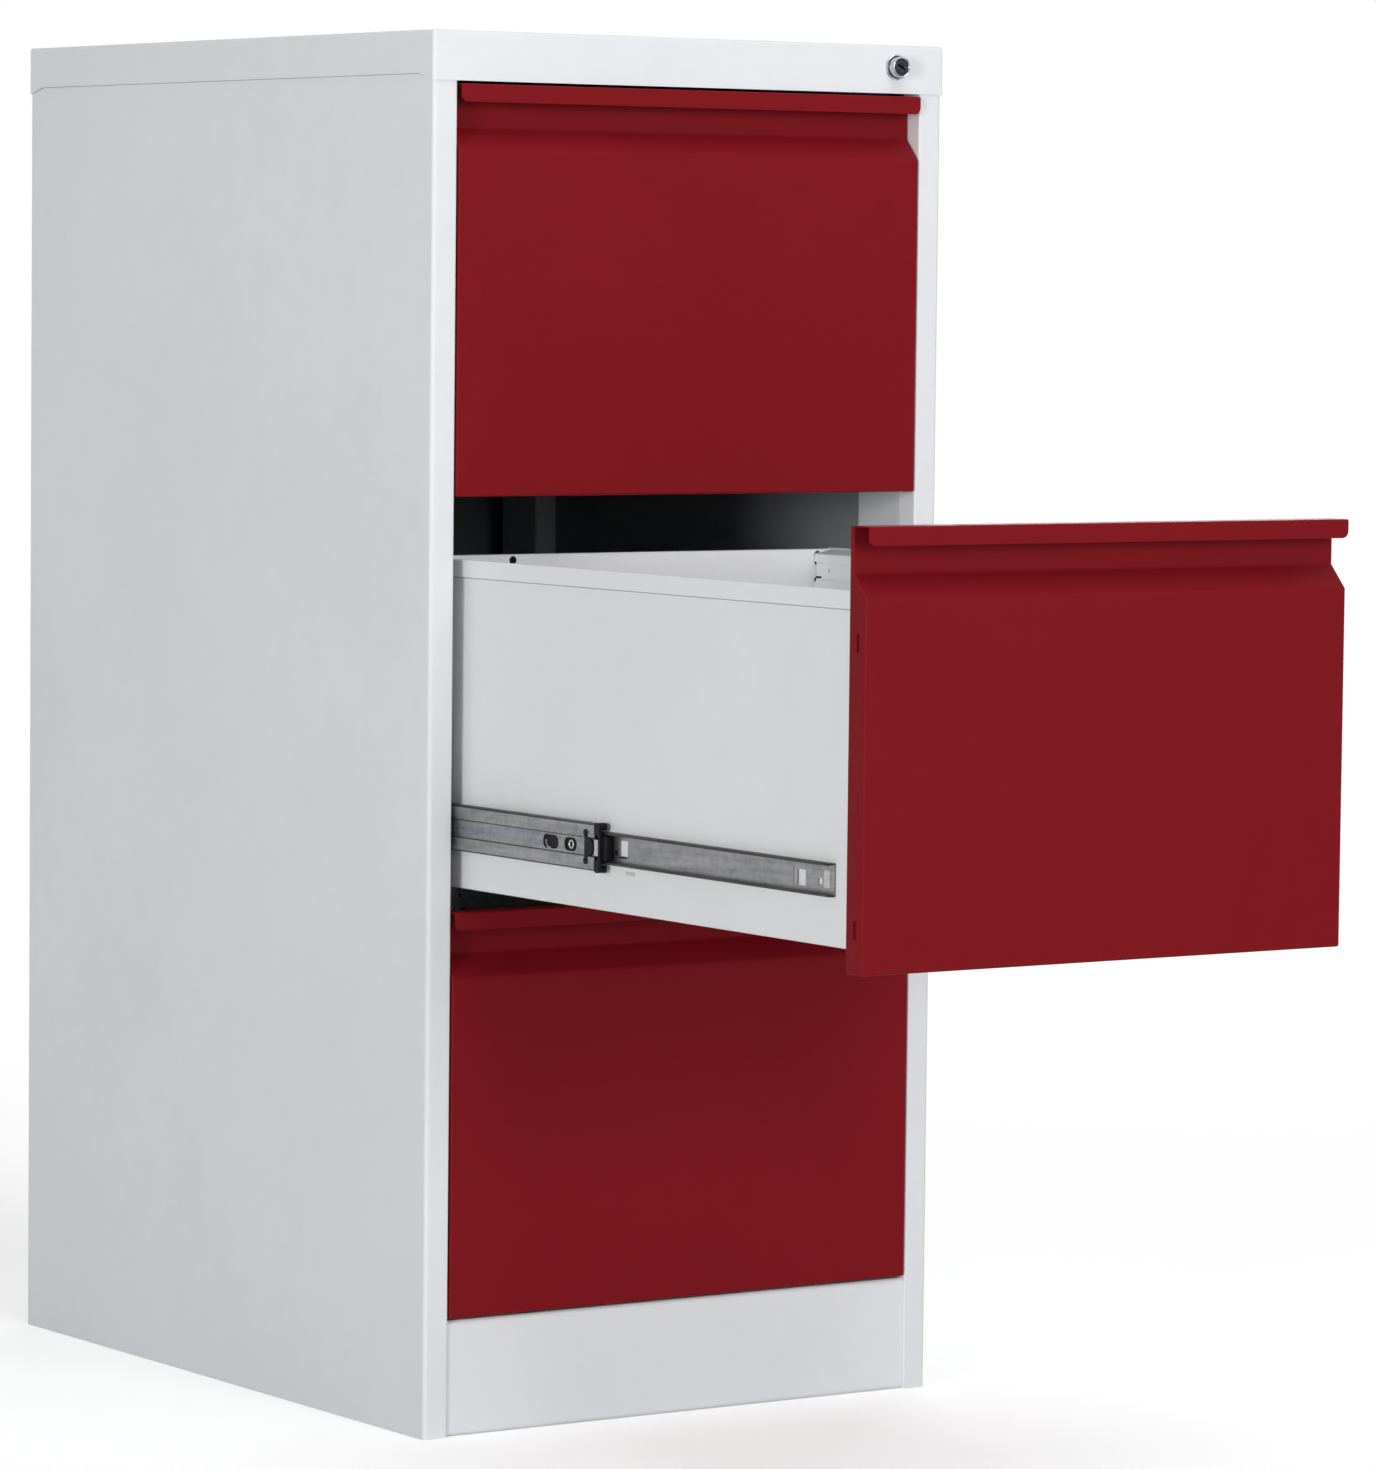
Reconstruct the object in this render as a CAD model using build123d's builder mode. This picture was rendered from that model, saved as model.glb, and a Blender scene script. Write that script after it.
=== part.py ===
from build123d import *
import os

# A three-drawer steel filing cabinet, modelled as it stands with its middle drawer pulled out.
# Millimetres. X runs across the width, the front faces -Y and +Z is up.
# The origin is the centre of the cabinet's footprint, on the floor.

# Cabinet shell
cabinet_height = 1016.0
cabinet_width = 450.0
cabinet_depth = 606.0
body_sheet = 1.0
cap_sheet = 1.0
cap_overhang = 1.0
cap_skirt = 36.0
cap_side_skirt = 31.0
cap_corner_run = 20.0
cap_edge = 1.5
stile_width = 20.0
stile_return = 20.0
body_bend = 2.5
rear_flange = 18.0

# Plinth, base and back
plinth_height = 85.0
plinth_setback = 2.0
plinth_top_flange = 20.0
plinth_bend = 4.0
base_height = 21.0
base_front_gap = 1.0
base_corner_gap = 2.0
back_flange = 16.0
back_top_gap = 2.0
swage_width = 340.0
swage_height = 26.0
swage_depth = 3.5
swage_draft = 30
swage_count = 3
swage_pitch = 300.0

# Uprights that carry the slides
upright_depth = 53.0
upright_gap = 1.0
upright_sheet = 1.2
upright_top_gap = 44.0
rear_upright_inset = 24.0

# Drawer fronts
drawer_gap = 2.0
front_side_gap = 1.0
front_sheet = 0.9
front_flange = 18.0
front_bend = 1.6
lip_height = 13.0
lip_reach = 2.5
lip_end_inset = 0.5
lip_corner_radius = 5.0
recess_depth = 15.0
recess_height = 31.5
slope_height = 16.0
flange_slot_width = 3.5
flange_slot_length = 12.0
flange_slot_inset = 8.0
upper_slot_drop = 77.0
lower_slot_rise = 30.0
liner_sheet = 0.8
liner_top_gap = 2.0

# Drawer trays
tray_sheet = 0.8
tray_top_drop = 43.5
tray_bottom_rise = 14.5
tray_length = 580.0
tray_slot_length = 12.0
tray_slot_width = 2.5
tray_slot_inset = 275.0
tray_slot_drop = 16.3
hem_band = 11.5
hem_proud = 1.5
hem_return = 3.8
hem_bend = 1.0
back_wall_inset = 5.0
back_hole_radius = 3.5
small_hole_sides = 10
back_hole_drop = 5.2
left_hole_x = -99.0
right_hole_x = 176.0
rail_depth = 17.5
rail_slope = 3.5
rail_upper_band = 8.0
rail_recess_band = 10.5
rail_lower_band = 8.5
rail_step = 1.5
rail_end_radius = 3.0
rail_end_gap = 0.5

# Ball-bearing slides, measured from the upright (u) and from the slide's middle (v)
slide_length = 550.0
slide_inset = 32.0
slide_rise = 45.0
slide_thickness = 12.7
slide_sheet = 1.2
outer_height = 45.0
outer_depth = 11.4
outer_lip = 2.5
middle_height = 33.0
middle_gap = 1.2
middle_depth = 7.2
middle_band = 13.6
middle_step = 0.8
middle_front_inset = 14.5
middle_rear_inset = 8.0
inner_height = 22.5
inner_depth = 6.9
inner_lip = 2.3
inner_front_inset = 8.0

# Holes and windows in the slides
mounting_slot_length = 14.0
mounting_slot_width = 6.0
mounting_slot_inset = 60.0
middle_slot_width = 9.6
rivet_slot_length = 16.5
rivet_slot_inset = 31.5
rivet_radius = 2.6
stop_slot_length = 20.0
stop_slot_inset = 57.0
slot_edge = 3.0
window_length = 9.5
window_height = 11.0
front_window_inset = 37.5
rear_window_inset = 253.0
slit_width = 2.0
slit_inset = 45.0
front_hole_radius = 2.75
front_hole_inset = 17.0
end_tab_length = 11.0
end_tab_height = 14.0
end_tab_inset = 7.5
end_tab_proud = 0.6

# Ball cages
cage_sheet = 0.5
cage_gap = 0.3
outer_cage_start = 145.0
outer_cage_length = 230.0
inner_cage_start = 240.0
inner_cage_length = 160.0
inner_cage_gap = 0.35
ball_clearance = 0.1
balls_per_row = 2
ball_sides = 4
ball_taper = 30.0
cage_edge = 0.3
ball_outer_depth = 7.6
ball_inner_depth = 8.1

# Moulded bumpers on the middle members, each with its release lever
bumper_length = 7.0
bumper_thickness = 6.4
bumper_web_thickness = 2.4
bumper_proud = 1.0
bumper_waist = 4.5
knob_radius = 2.8
knob_edge = 1.6
lever_sheet = 0.8
lever_body_width = 11.8
lever_body_length = 11.6
lever_body_lead = 1.8
lever_body_edge = 3.8
lever_neck_width = 4.0
lever_bar_width = 2.4
lever_bar_length = 20.0
lever_end_radius = 2.0
arm_sheet = 1.0
arm_width = 11.0
arm_length = 70.0

# Lock
lock_from_side = 44.0
lock_drop = 16.5
lock_bezel_radius = 9.7
lock_bezel_height = 1.6
lock_barrel_radius = 8.9
lock_barrel_length = 24.0
lock_wall_gap = 0.25
lock_hole_sides = 16
lock_bezel_edge = 0.8
plunger_radius = 7.9
plunger_edge = 0.6
plunger_stand = 8.0
plunger_travel = 7.0
plunger_end_gap = 1.0
core_radius = 6.4
core_length = 14.0
core_recess = 0.5
core_end_gap = 0.3
key_slot_width = 1.6
key_slot_length = 8.0
key_slot_depth = 7.0
key_slot_angle = 60.0
plunger_clearance = 0.25
core_clearance = 0.09
tail_radius = 4.0
wedge_width = 12.0
wedge_height = 16.0
wedge_reach = 38.0
wedge_back = 1.0
lock_rail_depth = 24.0
lock_rail_lip = 12.0
nut_thickness = 3.0
nut_radius = 12.5

# Locking bar
bar_thickness = 3.0
bar_width = 14.0
bar_offset = 4.5
bar_foot = 60.0
bar_setback = 14.0
bar_clearance = 0.3
arm_drop = 3.0
arm_slope = 6.0
tongue_height = 8.0
tongue_reach = 14.0
tongue_drop = 92.0
tongue_slot_gap = 1.0
catch_gap = 1.0
catch_height = 16.0
catch_depth = 9.0
catch_sheet = 1.5
catch_setback = 3.0
guide_height = 18.0
guide_sheet = 1.0

# How far the middle drawer stands out, and how far its middle members follow
middle_opening = 506.0
follow_ratio = 5.0 / 11.0

# Worked out from the sizes above
half_width = cabinet_width / 2
half_depth = cabinet_depth / 2
body_half = half_width - cap_overhang
body_front = -(half_depth - cap_overhang)
body_rear = half_depth - cap_overhang
wall_half = body_half - body_sheet
opening_half = body_half - stile_width
under_cap = cabinet_height - cap_sheet
shell_top = under_cap - cap_edge
face_closed = -half_depth
front_half = opening_half - front_side_gap
front_stack = cabinet_height - cap_skirt - plinth_height
front_height = (front_stack - 4 * drawer_gap) / 3
tray_half = opening_half - slide_thickness
tray_inner = tray_half - tray_sheet
upright_front = body_front + stile_return + upright_gap
upright_rear = body_rear - rear_upright_inset - upright_depth
upright_top = cabinet_height - upright_top_gap
slide_front = body_front + slide_inset
rail_face = tray_inner - rail_depth
outer_ball_radius = (outer_height / 2 - slide_sheet - middle_height / 2) / 2 - ball_clearance
outer_ball_height = (outer_height / 2 - slide_sheet + middle_height / 2) / 2
inner_ball_radius = (middle_height / 2 - slide_sheet - inner_height / 2) / 2 - ball_clearance
inner_ball_height = (middle_height / 2 - slide_sheet + inner_height / 2) / 2
middle_web = slide_sheet + middle_gap
middle_face = middle_web + middle_step + slide_sheet
inner_cage_web = middle_face + inner_cage_gap
lock_x = half_width - lock_from_side
lock_z = cabinet_height - lock_drop
lock_face = face_closed
bar_x = opening_half + upright_sheet + bar_offset
bar_front = upright_front + bar_setback
bar_middle = bar_front + bar_width / 2
wedge_top = lock_z + wedge_height / 2
wedge_low = lock_z - wedge_height / 2

slide_drop = front_height - tray_bottom_rise - slide_rise

drawers = (
    ("top", cabinet_height - cap_skirt - drawer_gap, 0.0),
    ("middle", cabinet_height - cap_skirt - 2 * drawer_gap - front_height, middle_opening),
    ("bottom", cabinet_height - cap_skirt - 3 * drawer_gap - 2 * front_height, 0.0),
)

os.makedirs("parts", exist_ok=True)


def folded(points, thickness, side, bend):
    """The section of a bent sheet, drawn from the line of one of its faces."""
    with BuildSketch() as section:
        with BuildLine():
            FilletPolyline(*points, radius=bend)
            offset(amount=thickness, side=side)
        make_face()
    return section.sketch


def rolled(points, thickness, side):
    """The section of a strip rolled with tight corners, drawn from the line of one of its faces."""
    with BuildSketch() as section:
        with BuildLine():
            Polyline(*points)
            offset(amount=thickness, side=side, kind=Kind.INTERSECTION)
        make_face()
    return section.sketch


def mirrored_path(points):
    """A half outline carried on through its mirror image, for a section with two like ends."""
    return points + [(-x, y) for x, y in reversed(points)]


def upright_line(points):
    """A half outline in (u, v) carried on through its image below the slide's middle."""
    return points + [(u, -v) for u, v in reversed(points)]


# Side panels: outer wall, rounded front stile with its inner return, and rear flange
with BuildPart() as left_side_panel:
    with BuildSketch(Plane.XY):
        side_line = [
            (-body_half + rear_flange, body_rear),
            (-body_half, body_rear),
            (-body_half, body_front),
            (-opening_half, body_front),
            (-opening_half, body_front + stile_return),
        ]
        add(folded(side_line, body_sheet, Side.LEFT, body_bend))
    extrude(amount=shell_top)
left_side_panel.part.label = "left_side_panel"
export_step(left_side_panel.part, "parts/left_side_panel.step")

with BuildPart() as right_side_panel:
    mirror(left_side_panel.part, about=Plane.YZ)
right_side_panel.part.label = "right_side_panel"
export_step(right_side_panel.part, "parts/right_side_panel.step")


# Top cap: a pressed tray turned over, its side skirts cut back between the deeper corners
with BuildPart() as top_cap:
    with BuildSketch(Plane.XY.offset(cabinet_height - cap_skirt)):
        Rectangle(cabinet_width, cabinet_depth)
    extrude(amount=cap_skirt)
    chamfer(top_cap.edges().filter_by(Axis.Z), length=cap_edge)
    chamfer(top_cap.faces().sort_by(Axis.Z)[-1].edges(), length=cap_edge)
    with BuildSketch(Plane.XY.offset(cabinet_height - cap_skirt)):
        Rectangle(cabinet_width - 2 * cap_sheet, cabinet_depth - 2 * cap_sheet)
    extrude(amount=cap_skirt - cap_sheet, mode=Mode.SUBTRACT)
    with BuildSketch(Plane.YZ):
        with BuildLine():
            skirt_end = body_rear
            run_end = body_rear - cap_corner_run
            Polyline(
                (-skirt_end, cabinet_height - cap_skirt),
                (-run_end, cabinet_height - cap_side_skirt),
                (run_end, cabinet_height - cap_side_skirt),
                (skirt_end, cabinet_height - cap_skirt),
                close=True,
            )
        make_face()
    extrude(amount=half_width, both=True, mode=Mode.SUBTRACT)
    with BuildSketch(Plane.XZ.offset(-body_front)):
        with Locations((lock_x, lock_z)):
            RegularPolygon(lock_barrel_radius + lock_wall_gap, lock_hole_sides, major_radius=False)
    extrude(amount=cap_sheet, mode=Mode.SUBTRACT)
top_cap.part.label = "top_cap"
export_step(top_cap.part, "parts/top_cap.step")


# Back panel: flanged top and bottom, stiffened by shallow pressed swages
with BuildPart() as back_panel:
    with BuildSketch(Plane.YZ):
        back_line = [
            (body_rear - body_sheet - back_flange, shell_top - back_top_gap),
            (body_rear - body_sheet, shell_top - back_top_gap),
            (body_rear - body_sheet, base_height + body_sheet),
            (body_rear - body_sheet - back_flange, base_height + body_sheet),
        ]
        add(folded(back_line, body_sheet, Side.RIGHT, body_bend))
    extrude(amount=body_half - body_bend, both=True)
    swage_inside = Plane(origin=(0, body_rear - 2 * body_sheet, cabinet_height / 2), x_dir=(1, 0, 0), z_dir=(0, -1, 0))
    with BuildSketch(swage_inside):
        with GridLocations(0, swage_pitch, 1, swage_count):
            Rectangle(swage_width, swage_height)
    extrude(amount=swage_depth, taper=swage_draft)
    with BuildSketch(swage_inside.offset(-body_sheet)):
        with GridLocations(0, swage_pitch, 1, swage_count):
            Rectangle(swage_width - 2 * body_sheet, swage_height - 2 * body_sheet)
    extrude(amount=swage_depth, taper=swage_draft, mode=Mode.SUBTRACT)
back_panel.part.label = "back_panel"
export_step(back_panel.part, "parts/back_panel.step")


# Plinth: the kick panel under the drawers, a little behind the stiles
with BuildPart() as plinth:
    with BuildSketch(Plane.YZ):
        plinth_front = body_front + plinth_setback
        plinth_line = [
            (plinth_front + plinth_top_flange, plinth_height),
            (plinth_front, plinth_height),
            (plinth_front, 0),
            (plinth_front + plinth_top_flange, 0),
        ]
        add(folded(plinth_line, body_sheet, Side.LEFT, plinth_bend))
    extrude(amount=opening_half, both=True)
plinth.part.label = "plinth"
export_step(plinth.part, "parts/plinth.step")


# Base pan: the floor of the cabinet, its front and rear edges turned up between the uprights
with BuildPart() as base_pan:
    with BuildSketch(Plane.YZ):
        pan_front = body_front + plinth_setback + plinth_top_flange + base_front_gap
        pan_rear = body_rear - body_sheet
        pan_line = [
            (pan_front, base_height),
            (pan_front, 0),
            (pan_rear, 0),
            (pan_rear, base_height),
        ]
        add(folded(pan_line, body_sheet, Side.LEFT, body_bend))
    extrude(amount=opening_half - base_corner_gap, both=True)
    with BuildSketch(Plane.XY):
        with Locations((0, (pan_front + pan_rear) / 2)):
            Rectangle(2 * (body_half - body_bend), pan_rear - pan_front - 2 * body_bend)
    extrude(amount=body_sheet)
base_pan.part.label = "base_pan"
export_step(base_pan.part, "parts/base_pan.step")


# Lock rail: the cross channel behind the cap's front skirt
with BuildPart() as lock_rail:
    with BuildSketch(Plane.YZ):
        rail_low = cabinet_height - cap_skirt + cap_sheet
        rail_line = [
            (body_front + lock_rail_depth, rail_low),
            (body_front, rail_low),
            (body_front, under_cap),
            (body_front + lock_rail_lip, under_cap),
        ]
        add(folded(rail_line, body_sheet, Side.RIGHT, body_bend))
    extrude(amount=opening_half, both=True)
    with BuildSketch(Plane.XZ.offset(-body_front - body_sheet)):
        with Locations((lock_x, lock_z)):
            RegularPolygon(lock_barrel_radius + lock_wall_gap, lock_hole_sides, major_radius=False)
    extrude(amount=body_sheet, mode=Mode.SUBTRACT)
lock_rail.part.label = "lock_rail"
export_step(lock_rail.part, "parts/lock_rail.step")


def tongue_base(front_top):
    """Height of a tongue's underside while the cabinet is unlocked."""
    return front_top - tongue_drop


def upright(side, front):
    """A vertical channel against the side wall; its web carries the slides."""
    with BuildPart() as channel:
        with BuildSketch(Plane.XY.offset(body_sheet)):
            channel_line = [
                (side * wall_half, front),
                (side * opening_half, front),
                (side * opening_half, front + upright_depth),
                (side * wall_half, front + upright_depth),
            ]
            inside = Side.RIGHT if side > 0 else Side.LEFT
            add(folded(channel_line, upright_sheet, inside, body_bend))
        extrude(amount=upright_top - body_sheet)
        if side > 0 and front < 0:
            with BuildSketch(Plane.YZ.offset(opening_half)):
                for _, front_top, _ in drawers:
                    low = tongue_base(front_top) - plunger_travel - tongue_slot_gap
                    slot_height = tongue_height + plunger_travel + 2 * tongue_slot_gap
                    with Locations((bar_middle, low + slot_height / 2)):
                        Rectangle(bar_width + 2 * tongue_slot_gap, slot_height)
            extrude(amount=upright_sheet, mode=Mode.SUBTRACT)
    return channel.part


for side_name, side in (("left", -1), ("right", 1)):
    for end_name, front in (("front", upright_front), ("rear", upright_rear)):
        upright_part = upright(side, front)
        upright_part.label = f"upright_{end_name}_{side_name}"
        export_step(upright_part, f"parts/{upright_part.label}.step")


def drawer_front(front_top, pull):
    """The painted front: face, slope, finger recess and forward lip, with flanges all round."""
    face = face_closed - pull
    low = front_top - front_height
    recess = face + recess_depth
    rear = face + front_flange
    slope_low = front_top - recess_height - slope_height
    slope_high = front_top - recess_height
    lip_front = face - lip_reach
    with BuildPart() as front:
        with BuildSketch(Plane.YZ):
            face_line = [
                (rear, low),
                (face, low),
                (face, slope_low),
                (recess, slope_high),
                (recess, front_top),
            ]
            add(folded(face_line, front_sheet, Side.RIGHT, front_bend))
        extrude(amount=front_half, both=True)
        for side in (-1, 1):
            with BuildSketch(Plane.YZ.offset(side * front_half)):
                with BuildLine():
                    Polyline(
                        (rear, low),
                        (face + front_sheet, low),
                        (face + front_sheet, slope_low),
                        (recess + front_sheet, slope_high),
                        (recess + front_sheet, front_top),
                        (rear, front_top),
                        close=True,
                    )
                make_face()
            extrude(amount=-side * front_sheet)
        with BuildSketch(Plane.YZ):
            lip_line = [
                (recess + front_sheet, front_top - front_sheet),
                (lip_front + front_sheet, front_top - front_sheet),
                (lip_front + front_sheet, front_top - lip_height),
            ]
            add(folded(lip_line, front_sheet, Side.RIGHT, front_sheet))
        extrude(amount=front_half - lip_end_inset, both=True)
        lip_ends = front.edges().filter_by(Axis.Y).group_by(Axis.Y)[0].group_by(Axis.Z)[0]
        fillet(lip_ends, radius=lip_corner_radius)
        with BuildSketch(Plane.YZ.offset(-front_half)):
            for slot_z in (front_top - upper_slot_drop, low + lower_slot_rise):
                with Locations((face + flange_slot_inset, slot_z)):
                    Rectangle(flange_slot_width, flange_slot_length)
        extrude(amount=2 * front_half, mode=Mode.SUBTRACT)
    return front.part


def drawer_liner(front_top, pull):
    """The flat inner skin that closes the back of a drawer front."""
    rear = face_closed - pull + front_flange
    low = front_top - front_height + front_sheet
    high = front_top - liner_top_gap
    with BuildPart() as liner:
        with BuildSketch(Plane.XZ.offset(-rear)):
            with Locations((0, (low + high) / 2)):
                Rectangle(2 * (front_half - front_sheet), high - low)
        extrude(amount=liner_sheet)
    return liner.part


def drawer_tray(front_top, pull):
    """Both sides and the floor of a drawer, folded from one sheet with a proud hem band."""
    start = face_closed - pull + front_flange
    high = front_top - tray_top_drop
    low = front_top - front_height + tray_bottom_rise
    with BuildPart() as tray:
        with BuildSketch(Plane.XZ.offset(-start)):
            left_wall = [
                (-tray_half - hem_proud + hem_return, high),
                (-tray_half - hem_proud, high),
                (-tray_half - hem_proud, high - hem_band),
                (-tray_half, high - hem_band - hem_proud),
                (-tray_half, low),
            ]
            add(rolled(mirrored_path(left_wall), tray_sheet, Side.LEFT))
        extrude(amount=-tray_length)
        fillet(tray.edges().filter_by(Axis.Y).group_by(Axis.Z)[0], radius=hem_bend)
        with BuildSketch(Plane.YZ.offset(-tray_half)):
            with Locations((start + tray_slot_inset, front_top - slide_drop - tray_slot_drop)):
                Rectangle(tray_slot_length, tray_slot_width)
        extrude(amount=2 * tray_half, mode=Mode.SUBTRACT)
    return tray.part


def drawer_back(front_top, pull):
    """The rear wall of a drawer, its top and bottom edges turned back."""
    rear = face_closed - pull + front_flange + tray_length
    wall = rear - back_wall_inset
    high = front_top - tray_top_drop - tray_sheet
    low = front_top - front_height + tray_bottom_rise + tray_sheet
    with BuildPart() as back:
        with BuildSketch(Plane.YZ):
            wall_line = [(rear, high), (wall, high), (wall, low), (rear, low)]
            add(rolled(wall_line, tray_sheet, Side.LEFT))
        extrude(amount=tray_inner - hem_bend, both=True)
        with BuildSketch(Plane.XZ.offset(-rear)):
            with Locations((left_hole_x, high - back_hole_drop), (right_hole_x, high - back_hole_drop)):
                RegularPolygon(back_hole_radius, small_hole_sides)
        extrude(amount=back_wall_inset, mode=Mode.SUBTRACT)
    return back.part


def file_rails(front_top, pull):
    """The stepped rails along both sides that suspension files hang from."""
    start = face_closed - pull + front_flange
    length = tray_length - back_wall_inset - rail_end_gap
    high = front_top - tray_top_drop - tray_sheet
    upper = high - rail_slope
    recess = upper - rail_upper_band
    lower = recess - rail_recess_band
    low = lower - rail_lower_band
    outer = -tray_inner
    inner = -rail_face
    with BuildPart() as rails:
        with BuildSketch(Plane.XZ.offset(-start)):
            rail_line = [
                (outer, high),
                (inner, upper),
                (inner, recess + rail_step),
                (inner - rail_step, recess),
                (inner - rail_step, lower),
                (inner, lower - rail_step),
                (inner, low),
                (outer, low),
            ]
            add(rolled(rail_line, tray_sheet, Side.RIGHT))
        extrude(amount=-length)
        with BuildSketch(Plane.YZ.offset(inner - rail_step - tray_sheet)):
            with Locations((start + length, (upper + low) / 2)):
                Rectangle(2 * rail_end_radius, upper - low)
                RectangleRounded(8 * rail_end_radius, upper - low, rail_end_radius, align=(Align.MAX, Align.CENTER), mode=Mode.SUBTRACT)
        extrude(amount=2 * rail_step, mode=Mode.SUBTRACT)
        mirror(rails.part, about=Plane.YZ)
    return rails.part


def slide_plane(front_top, front):
    """The plane of a left slide's section: its local x is the depth u, its local y the height v."""
    return Plane(origin=(-opening_half, front, front_top - slide_drop), x_dir=(1, 0, 0), z_dir=(0, -1, 0))


def web_plane(front_top, front, depth):
    """The plane of a left slide's web: its local x runs to the rear and its local y up."""
    return Plane(origin=(-opening_half + depth, front, front_top - slide_drop), x_dir=(0, 1, 0), z_dir=(1, 0, 0))


def cabinet_members(front_top):
    """The outer channels, fixed to the uprights on both sides."""
    with BuildPart() as member:
        with BuildSketch(slide_plane(front_top, slide_front)):
            half = outer_height / 2
            outer_line = upright_line([(outer_depth, half - outer_lip), (outer_depth, half), (0, half)])
            add(rolled(outer_line, slide_sheet, Side.LEFT))
        extrude(amount=-slide_length)
        with BuildSketch(web_plane(front_top, slide_front, 0)):
            with Locations((mounting_slot_inset, 0), (slide_length - mounting_slot_inset, 0)):
                Rectangle(mounting_slot_length, mounting_slot_width)
        extrude(amount=slide_sheet, mode=Mode.SUBTRACT)
        mirror(member.part, about=Plane.YZ)
    return member.part


def middle_members(front_top, pull):
    """The telescoping members that run between the cabinet's and the drawer's."""
    front = slide_front - follow_ratio * pull + middle_front_inset
    length = slide_length - middle_front_inset - middle_rear_inset
    half = middle_height / 2
    with BuildPart() as member:
        with BuildSketch(slide_plane(front_top, front)):
            middle_line = upright_line([(middle_web + middle_depth, half), (middle_web, half)])
            add(rolled(middle_line, slide_sheet, Side.LEFT))
            with Locations((middle_web, 0)):
                Trapezoid(middle_band, middle_step, 45, rotation=-90, align=(Align.CENTER, Align.MIN), mode=Mode.SUBTRACT)
            with Locations((middle_web + slide_sheet, 0)):
                Trapezoid(middle_band, middle_step, 45, rotation=-90, align=(Align.CENTER, Align.MIN))
        extrude(amount=-length)
        with BuildSketch(web_plane(front_top, front, 0)):
            with Locations((rivet_slot_inset, 0)):
                rivet_slot = Rectangle(rivet_slot_length, middle_slot_width)
            chamfer(rivet_slot.vertices(), length=slot_edge)
            with Locations((stop_slot_inset, 0)):
                Rectangle(stop_slot_length, middle_slot_width)
        extrude(amount=middle_face, mode=Mode.SUBTRACT)
        with BuildSketch(web_plane(front_top, front, middle_web + middle_step)):
            with Locations((rivet_slot_inset, 0)):
                RegularPolygon(rivet_radius, 8)
                Rectangle(rivet_radius, middle_slot_width)
        extrude(amount=slide_sheet)
        mirror(member.part, about=Plane.YZ)
    return member.part


def drawer_members(front_top, pull):
    """The inner channels, fixed to the drawer's sides."""
    front = slide_front - pull + inner_front_inset
    length = slide_length - inner_front_inset
    half = inner_height / 2
    open_depth = slide_thickness - inner_depth
    with BuildPart() as member:
        with BuildSketch(slide_plane(front_top, front)):
            inner_line = upright_line([(open_depth, half - inner_lip), (open_depth, half), (slide_thickness, half)])
            add(rolled(inner_line, slide_sheet, Side.RIGHT))
        extrude(amount=-length)
        with BuildSketch(web_plane(front_top, front, slide_thickness)):
            with Locations((front_window_inset, 0), (rear_window_inset, 0)):
                Rectangle(window_length, window_height)
            with Locations((slit_inset, 0)):
                Rectangle(slit_width, window_height)
            with Locations((front_hole_inset, 0)):
                RegularPolygon(front_hole_radius, small_hole_sides)
        extrude(amount=-slide_sheet, mode=Mode.SUBTRACT)
        with BuildSketch(web_plane(front_top, front, slide_thickness - slide_sheet)):
            with Locations((end_tab_inset, 0)):
                Rectangle(end_tab_length, end_tab_height)
        extrude(amount=-end_tab_proud)
        mirror(member.part, about=Plane.YZ)
    return member.part


def ball_cages(front_top, front, length, web, height, ball_depth, ball_radius):
    """Thin channels that space the balls of the upper and lower races of both slides."""
    reach = ball_depth + ball_radius + cage_edge
    edge = height + cage_sheet / 2
    spacing = (length - 4 * ball_radius) / (balls_per_row - 1)
    with BuildPart() as cage:
        with BuildSketch(slide_plane(front_top, front)):
            cage_line = upright_line([(reach, edge), (web, edge)])
            add(rolled(cage_line, cage_sheet, Side.LEFT))
        extrude(amount=-length)
        for side in (-1, 1):
            ball_height = front_top - slide_drop + side * height
            with BuildSketch(Plane.XY.offset(ball_height + cage_sheet / 2)):
                with Locations((-opening_half + ball_depth, front + length / 2)):
                    with GridLocations(0, spacing, 1, balls_per_row):
                        RegularPolygon(ball_radius, ball_sides)
            upper_halves = extrude(amount=ball_radius - cage_sheet / 2, taper=ball_taper)
            mirror(upper_halves, about=Plane.XY.offset(ball_height))
        mirror(cage.part, about=Plane.YZ)
    return cage.part


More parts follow.
